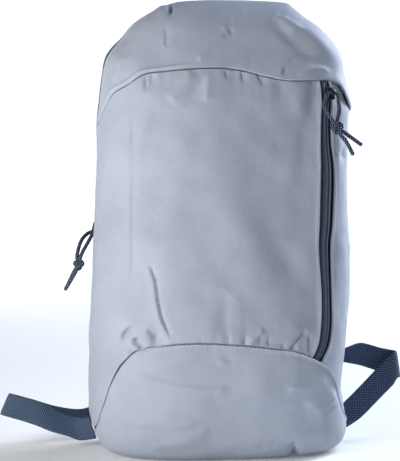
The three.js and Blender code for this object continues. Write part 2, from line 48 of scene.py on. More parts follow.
BODY = "root"

Array = np.ndarray
Piece = bpy.types.Object
Tree = bpy.types.NodeTree
Socket = bpy.types.NodeSocket
Pattern = tuple[Socket, Socket, float]
Point = tuple[float, float, float]
Span = tuple[float, float]


class Slot(Enum):
    """The record's material slots."""

    SHELL = "shell_cloth"
    ZIP = "zip_tape"
    SLIDER = "slider_metal"
    CORD = "pull_cord"
    WEBBING = "webbing"
    PAD = "pad_cloth"
    BUCKLE = "buckle_plastic"


class Side(Enum):
    """The wearer-neutral sides, as seen from the front."""

    LEFT = -1
    RIGHT = 1

    @property
    def label(self) -> str:
        """The side's name in lower case."""
        return self.name.lower()


# The bag's form

class Section(NamedTuple):
    """How far the bag reaches from its upright axis at one height, in mm."""

    z: float
    left: float
    right: float
    front: float
    back: float


class SeamPoint(NamedTuple):
    """A seam's height at one turn about the axis (degrees, 0 at the front, +90 at the right side)."""

    turn: float
    z: float


class ZipPoint(NamedTuple):
    """The turns of the front zip's two edges at one height."""

    z: float
    left: float
    right: float


SECTIONS = tuple(starmap(Section, (
    (0, 88, 92, 50, 44), (4, 100, 101, 58, 51), (14, 108.5, 107.5, 65, 56), (30, 114, 108, 69, 59),
    (56, 114.5, 104, 73, 60.5), (80, 114, 106.5, 74, 60.5), (104, 114, 109, 74, 60.5),
    (140, 111.5, 111.5, 72, 60.5), (180, 110, 111.5, 70, 60.5), (220, 107.5, 109.5, 66, 60.5),
    (255, 106.5, 109.5, 62, 59), (288, 106, 110.5, 56.5, 57), (306, 104, 110.5, 53.5, 55),
    (323, 102, 106.5, 49.5, 52), (340, 98, 103, 44, 48), (349, 92, 99.5, 40.5, 45), (357, 85, 94, 37, 42),
    (366, 78.5, 85.5, 32.5, 37.5), (374, 70, 74, 27, 32), (382, 56, 64.5, 20, 25),
    (385.5, 48, 60.2, 15.5, 19.5), (387.5, 42, 57.5, 13, 16.5), (389, 32, 46, 10.5, 13),
    (390, 14, 23, 7, 8),
)))
HOOD_SEAM = tuple(starmap(SeamPoint, (
    (-97, 283), (-89, 286), (-83, 291), (-77, 301), (-72, 312.5), (-65.5, 320), (-59.5, 328.5), (-50, 331),
    (-30, 333), (3, 333), (18, 331), (34, 327), (46, 323.5), (63, 323), (69, 322), (73.5, 315), (75.2, 307),
    (80, 299), (97, 294),
)))
BASE_SEAM = tuple(starmap(SeamPoint, (
    (-180, 12), (-120, 14), (-97, 20), (-75, 28), (-68, 48), (-59, 80), (-52, 95), (-37, 102), (6, 102),
    (28, 98), (37, 96), (47, 89), (58, 77), (63, 65), (68, 48), (75, 33), (97, 20), (120, 14), (180, 12),
)))
FRONT_ZIP_EDGES = tuple(starmap(ZipPoint, (
    (84, 46, 52.5), (98, 50.3, 56.7), (115, 52, 58.3), (140, 52.7, 58.2), (184, 52.2, 58.6),
    (204, 53.8, 61), (245, 56.6, 64), (272, 58.3, 63.5), (323, 63.4, 67.5),
)))


class Curve:
    """A smooth curve through one column of a table; flat beyond its ends."""

    def __init__(self, at: Sequence[float], values: Sequence[float]) -> None:
        """Keeps the table and the slope at each of its rows.

        Args:
            at: the places of the rows, rising.
            values: the value at each place.
        """
        self.at = np.asarray(at, float)
        self.values = np.asarray(values, float)
        slopes = np.diff(self.values) / np.diff(self.at)
        self.tangents = np.concatenate((slopes[:1], (slopes[:-1] + slopes[1:]) / 2, slopes[-1:]))

    def __call__(self, places: Array) -> Array:
        """The values at an array of places.

        Args:
            places: where to read the curve.

        Returns:
            The value at each place.
        """
        places = np.clip(places, self.at[0], self.at[-1])
        row = np.clip(np.searchsorted(self.at, places, side="right") - 1, 0, len(self.at) - 2)
        span = self.at[row + 1] - self.at[row]
        p = (places - self.at[row]) / span
        low, high = self.values[row], self.values[row + 1]
        rise_low, rise_high = self.tangents[row] * span, self.tangents[row + 1] * span
        turn = p * p * (3 - 2 * p)
        return low + (high - low) * turn + p * (1 - p) * ((1 - p) * rise_low - p * rise_high)


def column(rows: Sequence[NamedTuple], key: str, value: str) -> Curve:
    """The curve of one named column of a table over another."""
    return Curve([getattr(row, key) for row in rows], [getattr(row, value) for row in rows])


def smoothstep(values: Array, low: float, high: float) -> Array:
    """0 below low, 1 above high, and a smooth rise between them."""
    share = np.clip((values - low) / (high - low), 0, 1)
    return share * share * (3 - 2 * share)


def unit(vectors: Array) -> Array:
    """The vectors at length 1."""
    return vectors / np.maximum(np.linalg.norm(vectors, axis=-1, keepdims=True), 1e-12)


@dataclass
class BagForm:
    """The stuffed bag's outer surface, in mm: +Z up, the front towards -Y.

    Each level section is a squared ellipse whose four reaches come from SECTIONS.
    """

    height: float = 390
    front_squareness: float = 2.8
    back_squareness: float = 3.6
    spine_low: float = 60
    spine_high: float = 290
    reach: float = 260
    zip_front: float = 11
    zip_back: float = 25
    zip_end: float = 188
    crown_sweep: float = 300
    setback_depth: float = 28
    setback_drop: float = 70
    halvings: int = 30
    settlings: int = 8
    seat_turn: float = 2
    seat_rise: float = 6

    def __post_init__(self) -> None:
        """Makes the curves of the tables."""
        self.reaches = {name: column(SECTIONS, "z", name) for name in ("left", "right", "front", "back")}
        self.hood_seam = column(HOOD_SEAM, "turn", "z")
        self.base_seam = column(BASE_SEAM, "turn", "z")
        self.zip_left = column(FRONT_ZIP_EDGES, "z", "left")
        self.zip_right = column(FRONT_ZIP_EDGES, "z", "right")

    def is_inside(self, points: Array) -> Array:
        """Whether each point is inside the bag.

        Args:
            points: the points, in mm.

        Returns:
            True for each point inside the surface.
        """
        x, y, z = points[..., 0], points[..., 1], points[..., 2]
        side = np.where(x < 0, self.reaches["left"](z), self.reaches["right"](z))
        depth = np.where(y < 0, self.reaches["front"](z), self.reaches["back"](z))
        power = np.where(y < 0, self.front_squareness, self.back_squareness)
        level = (np.abs(x) / side) ** power + (np.abs(y) / depth) ** power
        return (z >= 0) & (z <= self.height) & (level < 1)

    def cast_out(self, start: Array, direction: Array) -> Array:
        """The last points inside the bag on the ways from the starts in the directions.

        Args:
            start: points inside the bag, in mm.
            direction: the unit direction from each.

        Returns:
            The points where the ways meet the surface.
        """
        near = np.zeros(start.shape[:-1])
        far = np.full(start.shape[:-1], self.reach)
        for _ in range(self.halvings):
            middle = (near + far) / 2
            inside = self.is_inside(start + direction * middle[..., None])
            near = np.where(inside, middle, near)
            far = np.where(inside, far, middle)
        return start + direction * near[..., None]

    def pushed_out(self, points: Array) -> Array:
        """Points inside the bag, pushed out to its surface from the spine.

        Args:
            points: the points, in mm.

        Returns:
            The points on the surface.
        """
        spine = np.zeros_like(points)
        spine[..., 2] = np.clip(points[..., 2], self.spine_low, self.spine_high)
        return self.cast_out(spine, unit(points - spine))

    def on_bag(self, turn: Array, z: Array) -> Array:
        """The surface points at turns (degrees) and heights.

        Args:
            turn: the turn about the axis, in degrees.
            z: the height, in mm.

        Returns:
            The points, in mm.
        """
        angle, z = np.broadcast_arrays(np.radians(turn), np.asarray(z, float))
        flat = np.zeros_like(angle)
        start = np.stack((flat, flat, z), axis=-1)
        return self.cast_out(start, np.stack((np.sin(angle), -np.cos(angle), flat), axis=-1))

    def setback(self, z: Array) -> Array:
        """How far the main zip and the side seams stand back at a height below the crown."""
        return self.setback_depth * smoothstep(self.spine_high - z, 0, self.setback_drop)

    def on_arch(self, depth: Array, share: Array) -> Array:
        """The surface at a zip depth, a share of the way from left end to right end over the crown.

        Args:
            depth: the distance behind the axis, in mm.
            share: the share of the way, from 0 to 1.

        Returns:
            The points, in mm.
        """
        depth, share = np.broadcast_arrays(np.asarray(depth, float), np.asarray(share, float))
        rise = self.spine_high - self.zip_end
        way = share * (2 * rise + self.crown_sweep)
        over = np.clip((way - rise) / self.crown_sweep, 0, 1)
        z = self.spine_high - np.maximum(np.maximum(rise - way, way - rise - self.crown_sweep), 0)
        angle = np.pi * (1 - over)
        flat = np.zeros_like(angle)
        start = np.stack((flat, depth + self.setback(z), z), axis=-1)
        return self.cast_out(start, np.stack((np.cos(angle), flat, np.sin(angle)), axis=-1))

    def arch_share(self, z: float) -> float:
        """The share along the arch at which its left side is at a height."""
        return (z - self.zip_end) / (2 * (self.spine_high - self.zip_end) + self.crown_sweep)

    def side_turn(self, z: Array, side: Side) -> Array:
        """The turn of a side's seam at a height.

        Args:
            z: the height, in mm.
            side: which side's seam it is.

        Returns:
            The turn, in degrees.
        """
        y = self.zip_front + self.setback(z)
        power = self.back_squareness
        x = self.reaches[side.label](z) * (1 - (y / self.reaches["back"](z)) ** power) ** (1 / power)
        return side.value * (90 + np.degrees(np.arctan2(y, x)))

    def between_seams(
        self, edges: tuple[Callable, Callable], across: Array, up: Array, laps: tuple[float, float],
    ) -> Array:
        """Points of a panel between two upright edges and the base and hood seams.

        Args:
            edges: the left and the right edge's turn at a height.
            across: the share of the way from the left edge to the right one.
            up: the share of the way from the base seam to the hood seam.
            laps: how far the panel runs on under the base panel and under the hood.

        Returns:
            The points on the bag's surface.
        """
        z = self.spine_low + (self.spine_high - self.spine_low) * up
        turn = np.zeros_like(z)
        for _ in range(self.settlings):
            left, right = edges[0](z), edges[1](z)
            turn = left + (right - left) * across
            low, high = self.base_seam(turn) - laps[0], self.hood_seam(turn) + laps[1]
            z = low + (high - low) * up
        return self.on_bag(turn, z)

    def seat(self, turn: float, z: float, lift: float) -> Matrix:
        """The frame of a small piece on the surface: X across, Y up, Z outward, in metres.

        Args:
            turn: the place's turn about the axis, in degrees.
            z: its height, in mm.
            lift: how far the frame stands off the surface, in mm.

        Returns:
            The frame, from the piece's own axes to the bag's.
        """
        turns = turn + self.seat_turn * np.array([0, -1, 1, 0, 0])
        heights = z + self.seat_rise * np.array([0, 0, 0, -1, 1])
        here, left, right, below, above = self.on_bag(turns, heights)
        across = unit(right - left)
        out = unit(np.cross(across, above - below))
        upward = np.cross(out, across)
        seat = np.identity(4)
        seat[:3] = np.stack((across, upward, out, (here + lift * out) * MM), axis=-1)
        return Matrix(seat.tolist())


# Folds and wrinkles of the cloth

ANY_PHASE = (0, 6.28)


@dataclass(frozen=True)
class Crease:
    """A line pressed into the cloth, by its places (x, z) in mm seen from the front.

    The cloth drops by depth at the line. On the right of the way it comes back over the near width, and on
    the left over the far one, where it first stands up by ridge. A depth below 0 makes a rounded ridge.
    """

    way: tuple[tuple[float, float], ...]
    depth: float
    near: float = 3.0
    far: float = 3.0
    ridge: float = 0.0
    taper: float = 10.0
    reach: float = 40.0
    bank_share: float = 2.2

    def relief(self, x: Array, z: Array) -> Array:
        """How far the crease moves the cloth outward at points seen from the front.

        Args:
            x: the points' places across, in mm.
            z: their heights, in mm.

        Returns:
            The move at each point, in mm.
        """
        distance = np.full(x.shape, np.inf)
        signed = np.zeros(x.shape)
        along = np.zeros(x.shape)
        total = 0.0
        for (x0, z0), (x1, z1) in zip(self.way, self.way[1:]):
            length = math.hypot(x1 - x0, z1 - z0)
            ux, uz = (x1 - x0) / length, (z1 - z0) / length
            run = (x - x0) * ux + (z - z0) * uz
            held = np.clip(run, 0, length)
            gap = np.hypot(x - x0 - held * ux, z - z0 - held * uz)
            closer = gap < distance
            left = (z - z0) * ux - (x - x0) * uz
            distance = np.where(closer, gap, distance)
            signed = np.where(closer, np.where(left > 0, gap, -gap), signed)
            along = np.where(closer, total + held, along)
            total += length
        fade = smoothstep(along, 0, self.taper) * smoothstep(total - along, 0, self.taper)
        fade = fade * (distance < self.reach)
        width = np.where(signed > 0, self.far, self.near)
        fall = np.exp(-distance / width) if self.depth > 0 else 1 / (1 + (distance / width) ** 2)
        valley = -self.depth * fall
        bank = self.ridge * np.where(signed > 0, np.exp(-((signed / (self.bank_share * self.far)) ** 2)), 0)
        return fade * (valley + bank)


@dataclass(frozen=True)
class Dimple:
    """A round hollow, or a swelling where the depth is negative."""

    x: float
    z: float
    depth: float
    across: float
    up: float
    lean: float = 0.0

    def relief(self, x: Array, z: Array) -> Array:
        """How far the hollow moves the cloth outward.

        Args:
            x: the points' places across, in mm.
            z: their heights, in mm.

        Returns:
            The move at each point, in mm.
        """
        side, rise = x - self.x, z - self.z
        turned = side - self.lean * rise
        return -self.depth * np.exp(-((turned / self.across) ** 2) - (rise / self.up) ** 2)


FRONT_CREASES = tuple(starmap(Crease, (
    (((-49.4, 108), (-54, 117.5), (-58, 128), (-60.3, 141), (-62.3, 157), (-68, 172)), 3.4, 1.3, 2.0, 2.8, 9),
    (((-91, 106), (-89.5, 110), (-87.4, 113.5), (-84.6, 116), (-80, 117)), 5.2, 2.0, 1.6, 2.4, 3),
    (((-73.3, 97.7), (-75.4, 101), (-79, 104.2), (-79.4, 106.7), (-77.3, 110.2)), 6.2, 2.2, 1.7, 2.8, 3),
    (((-60, 107.5), (-65.5, 111.4), (-70, 116)), 3.6, 3.5, 2.6, 1.4, 4),
    (((-85, 97.5), (-79.5, 96), (-73.7, 98)), 3.2, 1.8, 1.8, 1.2, 3),
    (((-82.3, 148), (-81.2, 190), (-79.8, 240), (-79.5, 298)), 1.5, 1.7, 1.6, 0.8, 24),
    (((-81, 240), (-76, 265), (-68, 292)), -1.2, 5, 4, 0, 16),
    (((-10, 154), (-4, 148), (10, 136)), -0.7, 3, 4, 0, 8),
    (((-69, 313), (-67.9, 329)), 2.0, 3.0, 2.4, 1.2, 6),
    (((-65, 318), (-62.9, 330)), 2.0, 3.0, 2.4, 1.2, 5),
    (((-50, 305), (-39, 317), (-28.5, 331)), -1.9, 5, 3.5, 0, 6),
    (((-19, 303), (-16, 331)), -1.5, 4, 4, 0, 7),
    (((-0.4, 322), (-3, 333)), 1.4, 3.6, 3.0, 0.8, 5),
    (((13, 320), (10.5, 332)), 1.5, 3.6, 3.0, 0.8, 5),
    (((30, 318), (23, 331)), 1.7, 4.0, 3.4, 0.9, 6),
    (((-26, 101), (-25, 110)), 1.2, 3.6, 3.2, 0.7, 4),
    (((-2.6, 101), (-2.2, 113)), 1.6, 3.6, 3.2, 0.8, 5),
    (((10.9, 101), (11.3, 111)), 1.4, 3.6, 3.2, 0.8, 5),
    (((12, 101), (19.8, 108.4), (29, 116.5)), -1.7, 3, 3, 0, 5),
    (((23.6, 100), (24.1, 112)), 1.5, 3.4, 3.0, 0.8, 5),
    (((31.3, 99), (31.5, 111)), 1.5, 3.4, 3.0, 0.8, 5),
    (((42.5, 97), (45, 104)), 1.6, 2.8, 2.4, 0.9, 4),
    (((49, 96), (56.8, 105.5), (65, 115)), 2.8, 6.0, 4.5, 1.8, 6),
    (((67.5, 91), (68.4, 112)), 1.8, 4.0, 3.4, 1.0, 7),
)))
FRONT_DIMPLES = tuple(starmap(Dimple, (
    (-6, 126, 1.3, 7, 24, 0.05), (-20, 190, 1.4, 20, 45, -0.25), (35, 240, 1.8, 22, 50, -0.35),
    (15, 190, -1.1, 14, 55, -0.5), (-45, 240, -1.0, 18, 60, 0.1), (61, 308, -1.6, 7, 12),
    (45, 175, 1.4, 14, 40, -0.4), (66, 268, 1.6, 9, 30, 0.1), (-27, 314, 1.4, 7, 13, 0.5),
    (78, 200, -1.0, 10, 40), (44, 317, 1.4, 6, 8), (72, 303, 1.2, 5, 10), (-62, 109, 1.8, 6, 7),
    (-71, 101, -1.4, 4, 6), (-68, 290, -0.9, 5, 12, 0.2), (57, 99, -1.2, 3, 5), (-15, 200, -5.6, 50, 150),
    (62, 225, 2.2, 32, 95),
)))
RIGHT_DIMPLES = tuple(starmap(Dimple, (
    (101, 259, 2.2, 3.5, 5), (96, 267, -1.2, 4, 9), (102, 312, 2.4, 8, 11),
)))
HOOD_CREASES = tuple(starmap(Crease, (
    (((-26, 338.5), (-13, 350), (0, 360.5)), -1.5, 1.8, 1.8, 0, 5),
    (((5, 370), (11.8, 376.8), (19, 383)), -1.1, 1.8, 1.8, 0, 4),
    (((-51, 349), (-50.5, 358), (-50, 367)), 1.4, 2.2, 1.2, 0.8, 5),
    (((40, 378.5), (49.4, 371.7), (62, 362.5)), -2.2, 1.8, 2.2, 0, 5),
    (((47, 376.5), (57, 370), (67, 362.5)), -1.9, 1.8, 2.2, 0, 5),
    (((46, 371), (54, 365), (60, 360)), -1.0, 1.6, 2.0, 0, 4),
    (((46.9, 326), (48.5, 335)), 2.2, 1.8, 1.8, 1.2, 3),
    (((59.5, 324), (63, 329), (71, 332.6), (81, 333), (93, 328)), -1.5, 2.6, 2.2, 0, 9),
    (((50, 338), (62, 344), (80, 346)), 1.2, 3, 3, 0, 8),
    (((-93, 320), (-91, 332), (-86, 346)), -1.1, 3, 3, 0, 7),
    (((-84, 324), (-83, 334), (-79, 348)), -0.8, 3, 3, 0, 7),
)))
HOOD_DIMPLES = tuple(starmap(Dimple, (
    (-52, 382, -1.8, 5, 6), (-44.5, 383, 5, 1.9, 4.5, 0.2), (4.5, 363.5, 1.9, 2.2, 2.6),
    (-1.5, 366.5, -1.0, 2.6, 2.2), (-15, 352, 1.3, 26, 12), (-45, 357, -1.0, 16, 14),
    (34, 352, 1.4, 20, 10), (74, 329, -1.2, 14, 5), (61, 352, 2.2, 8.5, 17, -1.0),
    (78, 357, -2.4, 9, 14, -1.0), (-24, 358, -2.6, 34, 26), (-82, 335, 0.9, 7, 14),
)))
BASE_CREASES = tuple(starmap(Crease, (
    (((-92, 81), (-74.6, 76.4), (-54, 70.6), (-40.7, 67.7), (-20, 65.4), (2, 65.5)), -1.7, 8, 2.6, 0, 12),
    (((46, 66), (61.7, 63.5), (86, 68.5)), -1.8, 3.4, 2.6, 0, 9),
    (((64, 46.5), (85.4, 54.2), (94, 59.5)), -2.4, 3.0, 2.6, 0, 8),
    (((72, 40.5), (88.5, 49.2), (95, 55)), -2.1, 3.0, 2.6, 0, 7),
    (((74, 31), (88, 40), (99, 47)), -1.4, 2.6, 2.4, 0, 8),
    (((54, 17), (57, 10), (57, 3)), 4.0, 3, 3, 1, 3),
    (((56, 13), (40, 16), (20, 12)), 1.3, 3, 4, 0.6, 8),
    (((-83, 33.4), (-67, 37), (-38, 34.6), (-25, 39)), -1.4, 4, 3, 0, 10),
    (((-70, 14), (-40, 20), (-15, 30)), -1.7, 4, 4, 0, 10),
)))
BASE_DIMPLES = tuple(starmap(Dimple, (
    (0, 86, 1.0, 16, 9), (-7, 89, -1.0, 5, 4, -0.6), (-55, 88, -1.2, 18, 7), (55, 84, -0.8, 18, 8),
    (-30, 50, -1.0, 50, 12), (50, 40, 1.2, 30, 10, 0.4), (88, 24, -1.0, 12, 12), (-80, 30, 0.8, 12, 3),
    (-52, 11, 0.9, 16, 4),
)))


@dataclass(frozen=True)
class Wrinkles:
    """The creases and hollows of one panel's front, and the soft unevenness of slack cloth, in mm."""

    creases: tuple[Crease, ...] = ()
    dimples: tuple[Dimple, ...] = ()
    slack: float = 0.7
    slack_length: float = 75.0
    fine_share: float = 0.35
    waves: int = 14
    seed: int = 3
    front_edge: Span = (-6, 10)
    crown: Span = (362, 382)
    crown_hold: float = 0.85
    foot: Span = (1, 12)

    def unevenness(self, points: Array, length: float, seed: int) -> Array:
        """Smooth waves of about a length, mostly between -1 and 1.

        Args:
            points: the points on the bag's form, in mm.
            length: the waves' mean length, in mm.
            seed: which of the chance patterns is taken.

        Returns:
            The height of the waves at each point.
        """
        chance = np.random.default_rng(seed)
        total = np.zeros(points.shape[:-1])
        for _ in range(self.waves):
            direction = unit(chance.normal(size=3))
            pace = 2 * np.pi / length * chance.uniform(0.6, 1.5)
            total += np.sin(points @ direction * pace + chance.uniform(*ANY_PHASE))
        return total / math.sqrt(self.waves)

    def relief(self, points: Array, from_seam: Array) -> Array:
        """How far the cloth stands out from the bag's form.

        Args:
            points: the points on the bag's form, in mm.
            from_seam: how free each point is of the seams that hold the cloth flat, from 0 to 1.

        Returns:
            The relief at each point, in mm.
        """
        x, z = points[..., 0], points[..., 2]
        front = smoothstep(-points[..., 1], *self.front_edge)
        shaped = sum((mark.relief(x, z) for mark in (*self.creases, *self.dimples)), np.zeros(x.shape))
        slack = self.slack * self.unevenness(points, self.slack_length, self.seed)
        fine = self.fine_share * self.slack * self.unevenness(points, self.slack_length / 3, self.seed + 1)
        loose = 1 - self.crown_hold * smoothstep(z, *self.crown)
        return (front * shaped * from_seam + (slack + fine) * loose) * smoothstep(z, *self.foot)


@dataclass(frozen=True)
class Gathers:
    """Small flutes that run off a gathered seam, in mm: how far they reach, their height and mean pitch."""

    reach: float
    height: float
    pitch: float
    seed: int
    shares: tuple[float, ...] = (0.6, 1.0, 1.7)
    beat: float = 5.3

    def relief(self, along: Array, distance: Array) -> Array:
        """How far the flutes move the cloth outward.

        Args:
            along: the place along the seam, in mm.
            distance: the distance from the seam, in mm.

        Returns:
            The move at each point, in mm.
        """
        chance = np.random.default_rng(self.seed)
        turned = along * 2 * np.pi
        wave = np.zeros(along.shape)
        for share in self.shares:
            wave += np.sin(turned / (self.pitch * share) + chance.uniform(*ANY_PHASE)) * share ** 0.5
        strength = 0.5 + 0.5 * np.sin(turned / (self.pitch * self.beat) + chance.uniform(*ANY_PHASE))
        return self.height * strength * wave / 2 * np.exp(-distance / self.reach)


# Meshes

STEP_GROWTH = 1.3
CORD_CAP = ((0.4, 0.85), (0.7, 0.45))
SMOOTH_BELOW = math.radians(40)


def graded(length: float, step: float, fine: float = 0.45, held: float = 0.0) -> Array:
    """Shares of a length: fine steps, held for a run at both ends, that grow to an even step between them.

    Args:
        length: the whole length, in mm.
        step: the even step.
        fine: the step at both ends.
        held: how far from each end the step stays fine.

    Returns:
        The shares, from 0 to 1.
    """
    end, at, stride = [0.0], 0.0, fine
    while stride < step:
        at += stride
        end.append(at)
        stride *= STEP_GROWTH if at > held else 1.0
    middle = np.linspace(at, length - at, max(3, round((length - 2 * at) / step) + 1))
    return np.concatenate((end[:-1], middle, length - np.array(end[-2::-1]))) / length


@dataclass
class Grid:
    """Points in rows and columns on the bag, in mm. A closed grid's columns go all the way round."""

    points: Array
    closed: bool = False

    def normals(self) -> Array:
        """The outward normals, for columns that run to the right and rows that run up.

        Returns:
            A unit vector for each point.
        """
        if self.closed:
            across = np.roll(self.points, -1, axis=1) - np.roll(self.points, 1, axis=1)
        else:
            across = np.gradient(self.points, axis=1)
        return unit(np.cross(across, np.gradient(self.points, axis=0)))

    def run(self, axis: int) -> Array:
        """The distance from the first row (axis 0) or column (axis 1), along the surface.

        Args:
            axis: 0 to go up the columns, 1 to go along the rows.

        Returns:
            The distance at each point, in mm.
        """
        stride = np.linalg.norm(np.diff(self.points, axis=axis), axis=-1)
        start = np.zeros_like(np.take(self.points[..., 0], [0], axis=axis))
        return np.concatenate((start, np.cumsum(stride, axis=axis)), axis=axis)

    def run_back(self, axis: int) -> Array:
        """The distance from the last row or column, along the surface."""
        run = self.run(axis)
        return np.take(run, [-1], axis=axis) - run

    def moved(self, lift: Array) -> "Grid":
        """The grid moved outward by a lift at each point."""
        return Grid(self.points + self.normals() * lift[..., None], self.closed)

    def faces(self) -> Array:
        """The four corners of each face.

        Returns:
            The points' numbers, four to a row.
        """
        rows, columns = self.points.shape[:2]
        index = np.arange(rows * columns).reshape(rows, columns)
        right = np.roll(index, -1, axis=1) if self.closed else index[:, 1:]
        left = index if self.closed else index[:, :-1]
        return np.stack((left[:-1], right[:-1], right[1:], left[1:]), axis=-1).reshape(-1, 4)

    def cloth_map(self) -> Array:
        """The place of each point on the flat cloth, in metres."""
        return np.stack((self.run(1), self.run(0)), axis=-1).reshape(-1, 2) * MM


def new_piece(name: str, points: Array, faces: Sequence, cloth_map: Array | None = None) -> Piece:
    """A mesh object at the origin.

    Args:
        name: the piece's name.
        points: its points, in mm.
        faces: the corners of each face.
        cloth_map: the place of each point on the piece's own map, in metres.

    Returns:
        The new object, smooth all over.
    """
    mesh = bpy.data.meshes.new(name)
    mesh.from_pydata((np.asarray(points) * MM).tolist(), [], [list(face) for face in faces])
    if cloth_map is not None:
        corner = np.empty(len(mesh.loops), dtype=np.int32)
        mesh.loops.foreach_get("vertex_index", corner)
        mesh.uv_layers.new(name="weave").data.foreach_set("uv", np.asarray(cloth_map)[corner].ravel())
    mesh.shade_smooth()
    piece = bpy.data.objects.new(name, mesh)
    bpy.context.collection.objects.link(piece)
    return piece


def grid_piece(name: str, grid: Grid, thickness: float, cloth_map: Array | None = None) -> Piece:
    """A cloth piece of a grid, with a wall inward. A closed grid's middle is filled.

    Args:
        name: the piece's name.
        grid: its outer face.
        thickness: the wall's thickness, in mm.
        cloth_map: the place of each point on the piece's own map, where it isn't the grid's own, in metres.

    Returns:
        The new piece.
    """
    points = grid.points.reshape(-1, 3)
    faces = grid.faces().tolist()
    cloth_map = grid.cloth_map() if cloth_map is None else cloth_map
    if grid.closed:
        columns = grid.points.shape[1]
        points = np.vstack((points, grid.points[0].mean(axis=0)))
        cloth_map = np.vstack((points[:, 0] * MM, (points[:, 2] - points[:, 1]) * MM)).T
        faces += [[len(points) - 1, (i + 1) % columns, i] for i in range(columns)]
    piece = new_piece(name, points, faces, cloth_map)
    wall = piece.modifiers.new("wall", "SOLIDIFY")
    wall.thickness = thickness * MM
    wall.offset = -1
    select_only(piece)
    bpy.ops.object.modifier_apply(modifier=wall.name)
    return piece


def select_only(piece: Piece) -> None:
    """Selects one object and makes it the active one.

    Args:
        piece: the object to select.
    """
    bpy.ops.object.select_all(action="DESELECT")
    piece.select_set(True)
    bpy.context.view_layer.objects.active = piece


def centripetal(points: Array, samples: int) -> Array:
    """A smooth way through points, with even samples between each two of them.

    Args:
        points: the points to go through.
        samples: how many samples each span gets.

    Returns:
        The way's points.
    """
    points = np.asarray(points, float)
    held = np.vstack((2 * points[0] - points[1], points, 2 * points[-1] - points[-2]))
    spans = np.maximum(np.linalg.norm(np.diff(held[:, :3], axis=0), axis=1), 1e-6) ** 0.5
    way = []
    for i in range(1, len(held) - 2):
        before, here, there, after = held[i - 1:i + 3]
        d0, d1, d2 = spans[i - 1:i + 2]
        leave = d1 * ((here - before) / d0 - (there - before) / (d0 + d1) + (there - here) / d1)
        reach = d1 * ((there - here) / d1 - (after - here) / (d1 + d2) + (after - there) / d2)
        for p in np.arange(samples) / samples:
            turn = p * p * (3 - 2 * p)
            way.append(here + (there - here) * turn + p * (1 - p) * ((1 - p) * leave - p * reach))
    return np.vstack((*way, points[-1]))


def run_of(way: Array) -> Array:
    """The distance along a way from its start to each of its points."""
    return np.concatenate(([0.0], np.cumsum(np.linalg.norm(np.diff(way, axis=0), axis=1))))


def read_at(places: Array, run: Array, values: Array) -> Array:
    """The vectors at places along a run, read between those at its points."""
    return np.stack([np.interp(places, run, values[:, axis]) for axis in range(3)], axis=-1)


def even_way(way: Array, step: float) -> Array:
    """A way sampled again at about a step, evenly."""
    run = run_of(way)
    return read_at(np.linspace(0, run[-1], max(4, round(run[-1] / step) + 1)), run, way)


def tube_faces(rings: int, sides: int) -> list[list[int]]:
    """The faces of a tube of rings, and its two end caps.

    Args:
        rings: how many rings of points there are.
        sides: how many points each ring has.

    Returns:
        The corners of each face, ring by ring, with the caps last.
    """
    index = np.arange(rings * sides).reshape(rings, sides)
    after = np.roll(index, -1, axis=1)
    walls = np.stack((index[:-1], after[:-1], after[1:], index[1:]), axis=-1).reshape(-1, 4)
    return [*walls.tolist(), index[0][::-1].tolist(), index[-1].tolist()]


def eased(way: Array, rounds: int) -> Array:
    """A way with its turns rounded by averaging neighbours, its ends kept.

    Args:
        way: the way's points.
        rounds: how often the neighbours are averaged.

    Returns:
        The rounded way, with as many points.
    """
    for _ in range(rounds):
        way = np.vstack((way[:1], (way[:-2] + 2 * way[1:-1] + way[2:]) / 4, way[-1:]))
    return way


def tube_piece(name: str, way: Array, radius: float, sides: int = 12) -> Piece:
    """A round cord along a way in mm, with rounded ends and a map of turns by metres.

    Args:
        name: the piece's name.
        way: the points of its middle line.
        radius: the cord's radius, in mm.
        sides: how many sides its round has.

    Returns:
        The new piece.
    """
    tangents = unit(np.gradient(way, axis=0))
    helper = np.array([0.0, 0.0, 1.0]) if abs(tangents[0][2]) < 0.9 else np.array([1.0, 0.0, 0.0])
    side = unit(np.cross(tangents[0], helper))
    rings, maps = [], []
    run = run_of(way)
    angles = np.arange(sides + 1) / sides * 2 * np.pi
    stations = [(0, -radius * beyond, share) for beyond, share in CORD_CAP[::-1]]
    stations += [(i, 0.0, 1.0) for i in range(len(way))]
    stations += [(len(way) - 1, radius * beyond, share) for beyond, share in CORD_CAP]
    for index, beyond, share in stations:
        side = unit(side - tangents[index] * (side @ tangents[index]))
        other = np.cross(tangents[index], side)
        ring = np.cos(angles)[:, None] * side + np.sin(angles)[:, None] * other
        rings.append(way[index] + tangents[index] * beyond + ring * radius * share)
        maps.append(np.stack((angles / (2 * np.pi), np.full(sides + 1, (run[index] + beyond) * MM)), axis=-1))
    points = np.array(rings)[:, :sides].reshape(-1, 3)
    piece = new_piece(name, points, tube_faces(len(rings), sides))
    layer = piece.data.uv_layers.new(name="weave")
    for polygon in piece.data.polygons[:(len(rings) - 1) * sides]:
        row, i = divmod(polygon.index, sides)
        corners = (maps[row][i], maps[row][i + 1], maps[row + 1][i + 1], maps[row + 1][i])
        for loop, place in zip(polygon.loop_indices, corners):
            layer.data[loop].uv = place
    return piece


# Finishes

def to_linear(code: str) -> tuple[float, float, float, float]:
    """An sRGB hex colour as linear light."""
    parts = [int(code[i:i + 2], 16) / 255 for i in (1, 3, 5)]
    return (*(p / 12.92 if p <= 0.04045 else ((p + 0.055) / 1.055) ** 2.4 for p in parts), 1.0)


